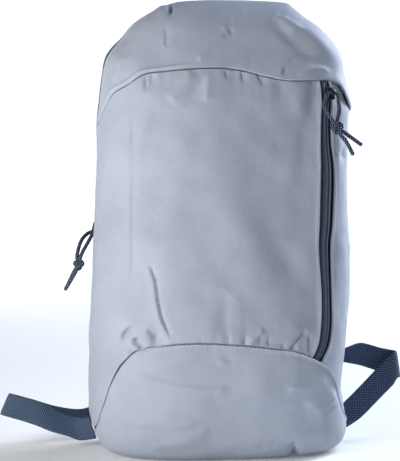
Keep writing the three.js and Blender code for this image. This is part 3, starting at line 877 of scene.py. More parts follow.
def add_node(tree: Tree, kind: str, inputs: dict | None = None, **settings: Any) -> bpy.types.Node:
    """Adds a shader node, sets its properties, and sets or links its inputs.

    Args:
        tree: the material's node tree.
        kind: the node's type, without its prefix.
        inputs: values, or sockets to link, by the input's name or number.
        settings: property values by name.

    Returns:
        The new node.
    """
    node = tree.nodes.new(f"ShaderNode{kind}")
    for name, value in settings.items():
        setattr(node, name, value)
    for name, value in (inputs or {}).items():
        if isinstance(value, Socket):
            tree.links.new(value, node.inputs[name])
        else:
            node.inputs[name].default_value = value
    return node


def bands(spacing_mm: float) -> float:
    """The scale of a wave, of 20 radians to a unit, whose bands are a spacing apart on a map in metres."""
    return 2 * math.pi / (20 * spacing_mm * MM)


@dataclass(frozen=True)
class Finish:
    """What every finish shares: its name, slot, two colours and plain surface values."""

    name: str
    slot: Slot
    colour: str
    second: str
    roughness: float = 0.7
    specular: float = 0.35
    metallic: float = 0.0
    sheen: float = 0.0
    tones: Span = (0.25, 0.95)

    def pattern(self, tree: Tree) -> Pattern:
        """The finish's own colour and height sockets, and the height in metres."""
        raise NotImplementedError

    def material(self) -> bpy.types.Material:
        """The finish's material, made once.

        Returns:
            The material.
        """
        made = bpy.data.materials.get(self.name)
        if made:
            return made
        made = bpy.data.materials.new(self.name)
        made.use_nodes = True
        tree = made.node_tree
        tree.nodes.clear()
        colour, height, depth = self.pattern(tree)
        bump = add_node(tree, "Bump", {"Strength": 1.0, "Distance": depth, "Height": height})
        shader = add_node(tree, "BsdfPrincipled", {
            "Base Color": colour, "Roughness": self.roughness, "Specular IOR Level": self.specular,
            "Metallic": self.metallic, "Sheen Weight": self.sheen, "Sheen Roughness": 0.4,
            "Normal": bump.outputs[0],
        })
        add_node(tree, "OutputMaterial", {"Surface": shader.outputs[0]})
        return made

    def mixed(self, tree: Tree, share: Socket) -> Socket:
        """The first colour where a share is low, and the second where it is high.

        Args:
            tree: the material's node tree.
            share: the socket that gives the share.

        Returns:
            The socket of the mixed colour.
        """
        ramp = add_node(tree, "ValToRGB", {0: share})
        for stop, place, code in zip(ramp.color_ramp.elements, self.tones, (self.colour, self.second)):
            stop.position = place
            stop.color = to_linear(code)
        return ramp.outputs[0]

    def dress(self, piece: Piece) -> None:
        """Gives a piece this finish.

        Args:
            piece: the piece to dress.
        """
        piece.data.materials.clear()
        piece.data.materials.append(self.material())


@dataclass(frozen=True)
class WovenShell(Finish):
    """Thin polyester plain weave: matt, a slight sheen, cloudy where the yarn takes the dye unevenly."""

    tones: Span = (0.3, 0.9)
    thread_mm: float = 1.5
    thread_height: float = 0.03
    cloud_mm: float = 45.0
    slub: float = 0.22
    crumple_mm: float = 7.0
    crumple_rise: float = 12.0

    def pattern(self, tree: Tree) -> Pattern:
        """Crossing threads, coarser than real ones so that they show, soft clouds and fine crumples.

        Args:
            tree: the material's node tree.

        Returns:
            The colour and height sockets, and the height in metres.
        """
        place = add_node(tree, "TexCoord")
        thread = {
            "Scale": bands(self.thread_mm), "Distortion": 2.6, "Detail": 2.0, "Vector": place.outputs["UV"],
        }
        warp = add_node(tree, "TexWave", thread, bands_direction="X")
        weft = add_node(tree, "TexWave", thread, bands_direction="Y")
        cross = add_node(tree, "Math", {0: warp.outputs["Fac"], 1: weft.outputs["Fac"]}, operation="MULTIPLY")
        cloud = add_node(tree, "TexNoise", {
            "Scale": 1 / (self.cloud_mm * MM), "Detail": 4.0, "Roughness": 0.55,
            "Vector": place.outputs["Object"],
        })
        crumple = add_node(tree, "TexNoise", {
            "Scale": 1 / (self.crumple_mm * MM), "Detail": 3.0, "Roughness": 0.6,
            "Vector": place.outputs["Object"],
        })
        slub = add_node(tree, "Math", {
            0: cross.outputs[0], 1: self.slub, 2: cloud.outputs["Fac"],
        }, operation="MULTIPLY_ADD")
        height = add_node(tree, "Math", {
            0: crumple.outputs["Fac"], 1: self.crumple_rise, 2: cross.outputs[0],
        }, operation="MULTIPLY_ADD")
        return self.mixed(tree, slub.outputs[0]), height.outputs[0], self.thread_height * MM


@dataclass(frozen=True)
class CoilTape(Finish):
    """Knitted nylon zip with its coil at the back: a smooth ribbed lane between two tape edges in painted
    shade.
    """

    tones: Span = (0.2, 0.9)
    rib_mm: float = 1.6
    wale_mm: float = 1.3
    rib_height: float = 0.12
    tape_mm: float = 12.0
    lane_end: Span = (0.26, 0.36)
    # Painted shade: the near-black colour of the tape's sunk edges.
    edge: str = "#0C0F15"

    def pattern(self, tree: Tree) -> Pattern:
        """Ribs across the lane, a turn of the coil apart, and painted shade at the edges, on a map across the
        tape.

        Args:
            tree: the material's node tree.

        Returns:
            The colour and height sockets, and the height in metres.
        """
        place = add_node(tree, "TexCoord")
        ribs = add_node(tree, "TexWave", {
            "Scale": bands(self.rib_mm), "Distortion": 0.6, "Vector": place.outputs["UV"],
        }, bands_direction="Y")
        wales = add_node(tree, "TexWave", {
            "Scale": bands(self.wale_mm), "Vector": place.outputs["UV"],
        }, bands_direction="X")
        height = add_node(tree, "Math", {0: ribs.outputs["Fac"], 1: wales.outputs["Fac"]}, operation="ADD")
        share = add_node(tree, "Math", {0: height.outputs[0], 1: 0.5}, operation="MULTIPLY")
        lane = self.mixed(tree, share.outputs[0])
        across = add_node(tree, "SeparateXYZ", {0: place.outputs["UV"]})
        from_middle = add_node(tree, "Math", {
            0: across.outputs[0], 1: self.tape_mm / 2 * MM,
        }, operation="SUBTRACT")
        distance = add_node(tree, "Math", {0: from_middle.outputs[0]}, operation="ABSOLUTE")
        start, end = (self.tape_mm * part * MM for part in self.lane_end)
        # Painted shade: the colour turns near-black towards both edges of the tape.
        shade = add_node(tree, "MapRange", {"Value": distance.outputs[0], "From Min": start, "From Max": end})
        colour = add_node(tree, "Mix", {
            "Factor": shade.outputs[0], 6: lane, 7: to_linear(self.edge),
        }, data_type="RGBA")
        return colour.outputs[2], height.outputs[0], self.rib_height * MM


@dataclass(frozen=True)
class FleckedWebbing(Finish):
    """Heavy woven nylon tape: dark ground with a light fleck where each thick pick crosses, partly the weave
    and partly a painted glint.
    """

    pick_mm: float = 1.6
    pick_height: float = 0.45

    def pattern(self, tree: Tree) -> Pattern:
        """Staggered flecks, partly weave and partly painted glint, from two sets of bands that cross on the
        slant.

        Args:
            tree: the material's node tree.

        Returns:
            The colour and height sockets, and the height in metres.
        """
        place = add_node(tree, "TexCoord")
        slant = add_node(tree, "Mapping", {
            "Vector": place.outputs["UV"], "Rotation": (0.0, 0.0, math.radians(45)),
        })
        scale = {"Scale": bands(self.pick_mm), "Distortion": 2.0, "Detail": 2.0, "Vector": slant.outputs[0]}
        one = add_node(tree, "TexWave", scale, bands_direction="X")
        two = add_node(tree, "TexWave", scale, bands_direction="Y")
        # The light flecks are partly the weave and partly a painted glint on the picks' crowns.
        fleck = add_node(tree, "Math", {0: one.outputs["Fac"], 1: two.outputs["Fac"]}, operation="MULTIPLY")
        return self.mixed(tree, fleck.outputs[0]), fleck.outputs[0], self.pick_height * MM


@dataclass(frozen=True)
class BraidedCord(Finish):
    """Round braided cord: strands that cross on the slant, with a painted highlight on their crowns and
    painted shade between them.
    """

    tones: Span = (0.12, 0.95)
    strands: int = 4
    lay_mm: float = 11.0
    strand_height: float = 0.5

    def pattern(self, tree: Tree) -> Pattern:
        """Slanting bands that wind round the cord both ways, coarser than a real braid so that they show.

        Args:
            tree: the material's node tree.

        Returns:
            The colour and height sockets, and the height in metres.
        """
        place = add_node(tree, "TexCoord")
        # A diagonal wave runs through ten radians in one unit of its map.
        turns = self.strands * 2 * math.pi / 10
        waves = []
        for way in (-1, 1):
            wound = add_node(tree, "Mapping", {
                "Vector": place.outputs["UV"], "Scale": (turns, way * turns / (self.lay_mm * MM), 1.0),
            })
            waves.append(add_node(tree, "TexWave", {
                "Scale": 1.0, "Vector": wound.outputs[0],
            }, bands_direction="DIAGONAL"))
        # The strands' crowns take the pale colour as painted highlight and the gaps take the near-black as
        # painted shade; the same value is the braid's bump.
        crown = add_node(tree, "Math", {
            0: waves[0].outputs["Fac"], 1: waves[1].outputs["Fac"],
        }, operation="MULTIPLY")
        return self.mixed(tree, crown.outputs[0]), crown.outputs[0], self.strand_height * MM


@dataclass(frozen=True)
class GrainedSurface(Finish):
    """A moulded or painted hard surface: fine grain, a little paler where it is rubbed."""

    tones: Span = (0.4, 0.8)
    grain_mm: float = 0.8
    grain_height: float = 0.05
    rub_mm: float = 6.0

    def pattern(self, tree: Tree) -> Pattern:
        """Fine noise for the grain, broad noise for the rubbed places.

        Args:
            tree: the material's node tree.

        Returns:
            The colour and height sockets, and the height in metres.
        """
        place = add_node(tree, "TexCoord")
        grain = add_node(tree, "TexNoise", {
            "Scale": 1 / (self.grain_mm * MM), "Detail": 2.0, "Vector": place.outputs["Object"],
        })
        rubbed = add_node(tree, "TexNoise", {
            "Scale": 1 / (self.rub_mm * MM), "Detail": 4.0, "Vector": place.outputs["Object"],
        })
        return self.mixed(tree, rubbed.outputs["Fac"]), grain.outputs["Fac"], self.grain_height * MM


# The bag's cloth: cool mid grey, matt, with a faint sheen at grazing angles.
SHELL = WovenShell("polyester_plain_weave", Slot.SHELL, "#9299A7", "#A4ABB9", 0.62, 0.3, 0.0, 0.06)
# The base seam's thread: a row of light ticks against the cloth, thick and pale so that they also paint the
# highlight along the base panel's rolled edge.
PALE_THREAD_AND_HIGHLIGHT = WovenShell("pale_polyester_thread", Slot.SHELL, "#B2BAC8", "#C4CCD8", 0.7, 0.3, thread_mm=0.8)
# The zip seams' thread: close to the cloth, seen by its small shadows.
TONAL_THREAD = WovenShell("tonal_polyester_thread", Slot.SHELL, "#8B94A4", "#9AA3B3", 0.7, 0.3, thread_mm=0.8)
# The pads' cloth: the same weave, a little darker and softer.
PAD_CLOTH = WovenShell("padded_plain_weave", Slot.PAD, "#8E98A9", "#99A3B4", 0.7, 0.3, 0.0, 0.12)
# The zips: a slate-blue lane with fine ribs between near-black edges of painted shade.
TAPE = CoilTape("nylon_coil_tape", Slot.ZIP, "#2C3345", "#565F75", 0.45, 0.4)
# The straps: navy, speckled pale where the thick picks cross; the specks are partly painted glint, and both
# colours are made paler to stand in for light the straps don't get.
WEBBING = FleckedWebbing("woven_nylon_webbing", Slot.WEBBING, "#24334C", "#7F97B4", 0.7, 0.35)
# The pull cords: a dark braid whose strand crowns carry a pale blue painted highlight and whose gaps carry
# near-black painted shade.
CORD = BraidedCord("braided_polyester_cord", Slot.CORD, "#121A27", "#8699B4", 0.75, 0.3)
# The sliders: near-black paint with a soft gleam.
PAINTED_ZINC = GrainedSurface("painted_zinc_casting", Slot.SLIDER, "#1D222C", "#2E3542", 0.35, 0.5, 0.5)
# The buckles: dark satin plastic.
MOULDED_ACETAL = GrainedSurface("moulded_acetal", Slot.BUCKLE, "#1C2129", "#262C36", 0.45, 0.4)


def hand_over(piece: Piece, finish: Finish, *nodes: str) -> Piece:
    """Dresses a finished piece, sets it on the body, and lets it stand for its nodes.

    Args:
        piece: the finished piece.
        finish: the finish it takes.
        nodes: the CAD nodes it stands for.

    Returns:
        The same piece.
    """
    finish.dress(piece)
    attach(piece, BODY)
    if nodes:
        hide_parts(*nodes)
    LOG.info("%s: %d faces", piece.name, len(piece.data.polygons))
    return piece


# Cloth body

@dataclass
class ClothPanel:
    """What the five panels share, in mm: form, wrinkles, thickness and mesh step. The cut is in metres."""

    form: BagForm
    wrinkles: Wrinkles
    cut: Span
    cut_area: float
    thickness: float = 0.9
    step: float = 1.8

    def finish(self, name: str, grid: Grid) -> Piece:
        """The panel's piece: given its wall, dressed, and set on the body in place of its CAD node.

        Args:
            name: the CAD node it stands for.
            grid: its outer face.

        Returns:
            The finished piece.
        """
        piece = hand_over(grid_piece(f"{name}_cloth", grid, self.thickness), SHELL, name)
        return piece


# How far the cloth stands out, in mm, at a distance in mm from its edge: tucked under the hood.
TUCKED = Curve((0, 3.7, 4.0, 4.4, 5.0, 7.0), (-1.9, -1.8, -1.3, -0.25, 0, 0))
# The hood's banded hem.
HEMMED = Curve((0, 0.4, 0.9, 4.2, 5.2, 6.5, 9.0, 20.0), (-0.5, 0.4, 0.7, 1.6, 1.3, 0.9, 0.6, 0.0))
# The hood's plain turned edge.
TURNED = Curve((0, 0.4, 0.9, 2.5, 6.0, 12.0), (-0.5, 0.4, 0.8, 0.9, 0.6, 0.0))
# The base panel's rolled edge.
ROLLED = Curve((0, 0.3, 0.8, 1.4, 2.0, 2.8, 8.0), (-0.4, 0.7, 1.4, 1.5, 1.1, 0.8, 0.7))
# The base panel's flatter edge at the left.
FLAT_EDGE = Curve((0, 0.4, 1.0, 8.0), (-0.8, 0.1, 0.4, 0.7))
# Under the base panel's edge.
SEAMED = Curve((0, 3.2, 3.8, 4.6, 7.0), (-0.9, -0.8, -0.4, 0, 0))
# Under the base panel's edge where it stands open, at the left.
GAPPED = Curve((0, 5.3, 5.7, 6.2, 6.9, 8.4), (-2.8, -2.7, -2.0, -0.4, 0, 0))
# The fold along the front zip.
FOLDED = Curve((0, 0.4, 0.9, 1.6, 2.4, 4.0), (-1.4, 0.1, 0.9, 0.8, 0.2, 0))
# A plain seam.
SEWN_IN = Curve((0, 1.0, 2.5, 6.0), (-1.2, -0.5, -0.1, 0))


@dataclass
class UprightPanel(ClothPanel):
    """What the front and the side strip share: they lap under the base panel and under the hood, in mm."""

    width: float = 330
    tall: float = 245
    lap: float = 3.2
    fine: float = 0.38
    held: float = 5.4
    free_of_seam: Span = (3.8, 5.2)
    free_of_zip: Span = (0, 6)

    def laid(self, edges: tuple[Callable, Callable]) -> Grid:
        """The panel's points between its four seams.

        Args:
            edges: the left and the right edge's turn at a height.

        Returns:
            The grid, on the bag's form.
        """
        rows = graded(self.tall, self.step, self.fine, self.held)
        across, up = np.meshgrid(graded(self.width, self.step), rows)
        return Grid(self.form.between_seams(edges, across, up, (self.lap, self.lap)))


@dataclass
class FrontPanel(UprightPanel):
    """The front and left side in one cloth, from the side seam to the front zip."""

    wrinkles: Wrinkles = Wrinkles(FRONT_CREASES, FRONT_DIMPLES)
    cut: Span = (0.36, 0.27)
    cut_area: float = 0.076
    step: float = 1.4
    lapped_ends: Span = (-83, -74)
    closing_ends: Span = (-62, -46)
    head: Gathers = Gathers(10, 0.9, 14, 11)
    foot: Gathers = Gathers(10, 1.2, 14, 12)
    gathered_front: Span = (15, 45)
    gathered_from_zip: Span = (2, 10)

    def build(self) -> Piece:
        """Builds the panel between its four seams.

        Returns:
            The finished panel.
        """
        form = self.form
        grid = self.laid((lambda z: form.side_turn(z, Side.LEFT), form.zip_left))
        x, y = grid.points[..., 0], grid.points[..., 1]
        low, high, left, right = grid.run(0), grid.run_back(0), grid.run(1), grid.run_back(1)
        lapped = 1 - smoothstep(x, *self.lapped_ends)
        closed = 0.5 + 0.5 * smoothstep(x, *self.closing_ends)
        foot = lapped * GAPPED(low) + (1 - lapped) * closed * SEAMED(low)
        lift = foot + TUCKED(high) + FOLDED(right) + SEWN_IN(left)
        free = smoothstep(np.minimum(low, high), *self.free_of_seam)
        gathers = self.head.relief(x, high) + self.foot.relief(x, low)
        gathered = smoothstep(-y, *self.gathered_front) * smoothstep(right, *self.gathered_from_zip) * free
        relief = self.wrinkles.relief(grid.points, free) * smoothstep(right, *self.free_of_zip)
        return self.finish("front_panel", grid.moved(lift + gathers * gathered + relief))


@dataclass
class RightPanel(UprightPanel):
    """The side strip from the front zip round to the right side seam."""

    wrinkles: Wrinkles = Wrinkles((), RIGHT_DIMPLES)
    cut: Span = (0.12, 0.29)
    cut_area: float = 0.028
    width: float = 100

    def build(self) -> Piece:
        """Builds the strip between its four seams.

        Returns:
            The finished panel.
        """
        form = self.form
        grid = self.laid((form.zip_right, lambda z: form.side_turn(z, Side.RIGHT)))
        low, high, left, right = grid.run(0), grid.run_back(0), grid.run(1), grid.run_back(1)
        lift = SEAMED(low) + TUCKED(high) + FOLDED(left) + SEWN_IN(right)
        free = smoothstep(np.minimum(low, high), *self.free_of_seam)
        relief = self.wrinkles.relief(grid.points, free) * smoothstep(left, *self.free_of_zip)
        return self.finish("right_panel", grid.moved(lift + relief))


@dataclass
class Hood(ClothPanel):
    """The top cap, hemmed along the arched seam and sewn to the main zip over the crown."""

    wrinkles: Wrinkles = Wrinkles(HOOD_CREASES, HOOD_DIMPLES)
    cut: Span = (0.36, 0.12)
    cut_area: float = 0.028
    step: float = 1.4
    width: float = 340
    tall: float = 100
    overlap: float = 0.4
    fine: float = 0.4
    held: float = 6.0
    tips: Span = (0, 12)
    band_ends: Span = (-46, -22)
    free_of_zip: Span = (1, 12)
    raised_corner: Dimple = Dimple(101, 0, -1.6, 9, 10)
    gathers: Gathers = Gathers(12, 0.3, 17, 21)

    def build(self) -> Piece:
        """Builds the cap from the arched seam up to the zip.

        Returns:
            The finished panel.
        """
        form = self.form
        end = float(form.side_turn(np.array(form.spine_high), Side.RIGHT))
        columns = graded(self.width, self.step)
        rows = graded(self.tall, self.step, self.fine, self.held)
        turns = -end + 2 * end * columns
        low = form.on_bag(turns, form.hood_seam(turns) - self.overlap)
        first, last = form.arch_share(HOOD_SEAM[0].z), 1 - form.arch_share(HOOD_SEAM[-1].z)
        high = form.on_arch(form.zip_front, first + (last - first) * columns)
        chord = low[None] + (high - low)[None] * rows[:, None, None]
        points = form.pushed_out(chord)
        points[0], points[-1] = low, high
        grid = Grid(points)
        x, from_hem, from_zip = grid.points[..., 0], grid.run(0), grid.run_back(0)
        tip = smoothstep(np.minimum(grid.run(1), grid.run_back(1)), *self.tips)
        banded = 1 - smoothstep(x, *self.band_ends)
        hem = banded * HEMMED(from_hem) + (1 - banded) * TURNED(from_hem)
        lift = hem * tip + SEWN_IN(from_zip)
        raised = self.raised_corner.relief(x, from_hem)
        gathers = self.gathers.relief(x, from_hem) * tip
        relief = self.wrinkles.relief(grid.points, tip * smoothstep(from_zip, *self.free_of_zip))
        return self.finish("hood", grid.moved(lift + raised + gathers + relief))


@dataclass
class BasePanel(ClothPanel):
    """The arched lower front with its rolled edge, the underside, and the low edge all round."""

    wrinkles: Wrinkles = Wrinkles(BASE_CREASES, BASE_DIMPLES)
    cut: Span = (0.3, 0.28)
    cut_area: float = 0.06
    step: float = 1.6
    turns: int = 380
    first_ring: int = 4
    reach: float = 165
    overlap: float = 0.4
    middle: Point = (0.0, 0.0, 1.0)
    notch: Dimple = Dimple(57, 0, -5, 4, 9)
    notched_front: Span = (20, 50)
    front_edge: Span = (-4, 25)
    rolled_from: Span = (-84, -72)
    off_floor: Span = (1, 14)
    free_of_seam: Span = (1, 6)
    gathers: Gathers = Gathers(8, 0.35, 13, 31)

    def build(self) -> Piece:
        """Builds the panel in rings from the middle of the underside to the arched seam.

        Returns:
            The finished panel.
        """
        form = self.form
        turn = np.linspace(-180, 180, self.turns, endpoint=False)
        rim = form.on_bag(turn, form.base_seam(turn) + self.overlap)
        middle = np.array(self.middle)
        shares = graded(self.reach, self.step)[self.first_ring:]
        points = form.pushed_out(middle + (rim - middle)[None] * shares[:, None, None])
        points[-1] = rim
        pinched = self.notch.relief(points[..., 0], points[..., 2])
        points[..., 2] += pinched * smoothstep(-points[..., 1], *self.notched_front)
        grid = Grid(points, closed=True)
        x, y, z = np.moveaxis(grid.points, -1, 0)
        from_rim = grid.run_back(0)
        front = smoothstep(-y, *self.front_edge)
        rolled = smoothstep(x, *self.rolled_from)
        edge = rolled * ROLLED(from_rim) + (1 - rolled) * FLAT_EDGE(from_rim)
        lift = front * edge + (1 - front) * SEWN_IN(from_rim)
        lift = lift * smoothstep(z, *self.off_floor)
        gathers = front * self.gathers.relief(x, from_rim)
        relief = self.wrinkles.relief(grid.points, smoothstep(from_rim, *self.free_of_seam))
        return self.finish("base_panel", grid.moved(lift + gathers + relief))


@dataclass
class BackPanel(ClothPanel):
    """The plain back, from side seam to side seam and up to the main zip."""

    wrinkles: Wrinkles = Wrinkles()
    cut: Span = (0.28, 0.4)
    cut_area: float = 0.088
    step: float = 2.88
    middle_z: float = 140
    middle_inset: float = 1
    foot_z: float = 20
    zip_gap: float = 1
    first_ring: int = 2
    reach: float = 200
    side_points: int = 70
    crown_points: int = 190
    foot_points: int = 90
    free_of_seam: Span = (1, 8)

    def build(self) -> Piece:
        """Builds the panel in rings from its middle to its seams.

        Returns:
            The finished panel.
        """
        form = self.form
        rise = np.linspace(self.foot_z, form.zip_end - self.zip_gap, self.side_points)
        sides = [form.on_bag(form.side_turn(rise, side), rise) for side in Side]
        crown = form.on_arch(form.zip_back, np.linspace(0, 1, self.crown_points))
        corner = float(form.side_turn(np.array(self.foot_z), Side.RIGHT))
        turn = np.linspace(corner, 360 - corner, self.foot_points)
        turn = np.where(turn > 180, turn - 360, turn)
        foot = form.on_bag(turn, form.base_seam(turn))
        rim = np.vstack((sides[0], crown, sides[1][::-1], foot[1:-1]))[::-1]
        depth = float(form.reaches["back"](np.array(self.middle_z))) - self.middle_inset
        middle = np.array([0.0, depth, self.middle_z])
        shares = graded(self.reach, self.step)[self.first_ring:]
        points = form.pushed_out(middle + (rim - middle)[None] * shares[:, None, None])
        points[-1] = rim
        grid = Grid(points, closed=True)
        from_rim = grid.run_back(0)
        relief = self.wrinkles.relief(grid.points, smoothstep(from_rim, *self.free_of_seam))
        return self.finish("back_panel", grid.moved(SEWN_IN(from_rim) + relief))


# Zips and their pulls

@dataclass
class ZipTape:
    """A zip with its coil behind: a tape with two smooth lanes and a groove down the middle, sizes in mm."""

    form: BagForm
    tape: float = 1.0
    sunk: float = -1.9
    lane: float = 0.35
    groove: float = -0.5
    shoulder: float = -0.9
    columns: int = 24
    step: float = 2.2
    front_run: float = 240
    main_run: float = 620
    edge_lap: float = 0.7
    end_lap: float = 3.0
    end_sink: float = 1.6
    sunk_ends: Span = (1, 7)
    main_margin: float = 0.6
    bow_height: float = 1.3
    bow_z: float = 345
    bow_reach: float = 11

    def profile(self, across: Array) -> Array:
        """The lift across the tape, for shares from 0 to 1.

        Args:
            across: the shares.

        Returns:
            The lift at each share, in mm.
        """
        half = (self.sunk, self.sunk, self.shoulder, self.lane, self.lane)
        places = (0, 0.14, 0.26, 0.36, 0.46, 0.5, 0.54, 0.64, 0.74, 0.86, 1)
        return Curve(places, (*half, self.groove, *half[::-1]))(across)

    def build_front(self) -> Piece:
        """Builds the front pocket zip, which runs on under the hood and the base panel.

        Returns:
            The finished zip.
        """
        form = self.form
        across, up = np.meshgrid(np.linspace(0, 1, self.columns + 1), graded(self.front_run, self.step))
        edges = (lambda z: form.zip_left(z) - self.edge_lap, lambda z: form.zip_right(z) + self.edge_lap)
        grid = Grid(form.between_seams(edges, across, up, (self.end_lap, self.end_lap)))
        ends = np.minimum(grid.run(0), grid.run_back(0))
        lift = self.profile(across) - self.end_sink * (1 - smoothstep(ends, *self.sunk_ends))
        return self.finish("front_zip", grid.moved(lift), across)

    def build_main(self) -> Piece:
        """Builds the main zip, from side to side over the crown.

        Returns:
            The finished zip.
        """
        form = self.form
        across, up = np.meshgrid(np.linspace(0, 1, self.columns + 1), graded(self.main_run, self.step))
        margin = self.main_margin
        depth = form.zip_back + margin + (form.zip_front - form.zip_back - 2 * margin) * across
        grid = Grid(form.on_arch(depth, up))
        x, z = grid.points[..., 0], grid.points[..., 2]
        bowed = self.bow_height * np.exp(-(((z - self.bow_z) / self.bow_reach) ** 2)) * (x < 0)
        return self.finish("main_zip", grid.moved(self.profile(across) + bowed), across)

    def finish(self, node: str, grid: Grid, across: Array) -> Piece:
        """The tape's piece, with its map across an even width and along its run.

        Args:
            node: the CAD node it stands for.
            grid: its outer face.
            across: each point's share of the way across.

        Returns:
            The finished tape.
        """
        tape_map = np.stack((across * TAPE.tape_mm, grid.run(0)), axis=-1).reshape(-1, 2) * MM
        return hand_over(grid_piece(f"{node}_tape", grid, self.tape, tape_map), TAPE, node)


class StitchRing(NamedTuple):
    """One ring of a stitch: its share of the length, its share of the radius, and its lift in mm."""

    along: float
    size: float
    lift: float


STITCH_RINGS = tuple(starmap(StitchRing, (
    (0.0, 0.4, -0.3), (0.18, 0.9, 0.05), (0.5, 1, 0.15), (0.82, 0.9, 0.05), (1.0, 0.4, -0.3),
)))


@dataclass
class Stitching:
    """A row of sewn stitches: short rounded threads that lie on the cloth, sizes in mm."""

    thread: Finish
    length: float = 2.0
    pitch: float = 3.1
    radius: float = 0.2
    sides: int = 6
    inset: float = 0.5

    def build(self, name: str, way: Array, out: Array) -> Piece:
        """Builds the stitches along a way on the surface.

        Args:
            name: the row's name.
            way: points on the cloth, in mm.
            out: the outward direction at each point.

        Returns:
            The finished row, as one piece.
        """
        run = run_of(way)
        points, faces = [], []
        angles = np.arange(self.sides) / self.sides * 2 * np.pi
        for start in np.arange(self.inset, run[-1] - self.length, self.pitch):
            spots = start + self.length * np.array([ring.along for ring in STITCH_RINGS])
            middles = read_at(spots, run, way)
            outs = unit(read_at(spots, run, out))
            tangent = unit(middles[-1] - middles[0])
            first = len(points)
            for middle, outward, ring in zip(middles, outs, STITCH_RINGS):
                side = np.cross(tangent, outward)
                circle = np.cos(angles)[:, None] * side + np.sin(angles)[:, None] * outward
                points.extend(middle + outward * ring.lift + circle * self.radius * ring.size)
            stitch = tube_faces(len(STITCH_RINGS), self.sides)
            faces += [[first + corner for corner in face[::-1]] for face in stitch]
        return hand_over(new_piece(name, np.array(points), faces), self.thread)


@dataclass
class Slider:
    """A cast zip slider with a wide eye for its cord, in mm: X across the zip, Y along it, Z outward."""

    seat: Matrix
    length: float = 11
    width: float = 7
    body: float = 3.4
    eye: float = 2.2
    rim: float = 1.1
    eye_height: float = 5.16
    eye_stretch: float = 3.2
    sunk: float = 1.4
    rounding: float = 0.8

    def build(self, name: str, node: str) -> Piece:
        """Builds the slider in its own frame and sets it on its zip.

        Args:
            name: the piece's name.
            node: the CAD node it stands for.

        Returns:
            The finished slider.
        """
        bpy.ops.object.select_all(action="DESELECT")
        bpy.ops.mesh.primitive_cube_add(size=1, location=(0, 0, (self.body - self.sunk) / 2 * MM))
        piece = bpy.context.object
        piece.name = name
        bpy.ops.object.mode_set(mode="EDIT")
        bpy.ops.transform.resize(value=(self.width * MM, self.length * MM, (self.body + self.sunk) * MM))
        bpy.ops.mesh.bevel(offset=self.rounding * MM, segments=3, affect="EDGES")
        bpy.ops.mesh.select_all(action="DESELECT")
        bpy.ops.mesh.primitive_torus_add(
            major_radius=(self.eye + self.rim / 2) * MM, minor_radius=self.rim / 2 * MM, major_segments=28,
            minor_segments=10, location=(0, 0, self.eye_height * MM), rotation=(0, math.pi / 2, 0),
        )
        bpy.ops.transform.resize(value=(self.eye_stretch, 1, 1), center_override=(0, 0, self.eye_height * MM))
        bpy.ops.object.mode_set(mode="OBJECT")
        bpy.ops.object.transform_apply(location=True, rotation=True, scale=True)
        bpy.ops.object.shade_smooth_by_angle(angle=SMOOTH_BELOW)
        piece.data.transform(self.seat)
        return hand_over(piece, PAINTED_ZINC, node)


class PullRoute(NamedTuple):
    """One corded pull, in mm: its slider's place, its knot, and the ways of its two strands and tails."""

    turn: float
    z: float
    knot: Point
    knot_radius: float
    strands: tuple[tuple[Point, ...], ...]
    tails: tuple[tuple[Point, ...], ...]


PULL_ROUTES = {
    "front": PullRoute(
        65.2, 311, (93.2, -48.2, 283), 5.6,
        (
            ((81.8, -49.5, 302.5), (84.2, -49.6, 296.3), (88.6, -49.5, 290)),
            ((95.3, -43.5, 304.4), (96.3, -43.5, 297.7), (94.4, -46.4, 290.6)),
        ),
        (
            ((99.6, -46.6, 279.2), (104.2, -45.8, 275.8), (114.6, -45, 268.4)),
            ((96.4, -50, 276.8), (101, -49.8, 271.4), (106.9, -48.8, 260.6)),
        ),
    ),
    "main": PullRoute(
        -115.6, 201, (-122.8, 10.5, 162), 4.8,
        (
            (
                (-99.5, 55.5, 192), (-106.5, 47, 188), (-113.5, 36, 186.5),
                (-119.3, 26, 182), (-122.4, 19, 175.5), (-124.2, 14, 168),
            ),
            (
                (-107.3, 37, 194.5), (-109.8, 28, 187), (-114.5, 19, 180),
                (-119.4, 13, 172.5), (-121.4, 10, 168.2),
            ),
        ),
        (
            ((-125.4, 13.6, 158), (-129, 14, 151), (-133, 13, 142.5)),
            ((-125, 8.2, 157.4), (-129, 8.6, 150), (-134.5, 9, 141)),
        ),
    ),
}


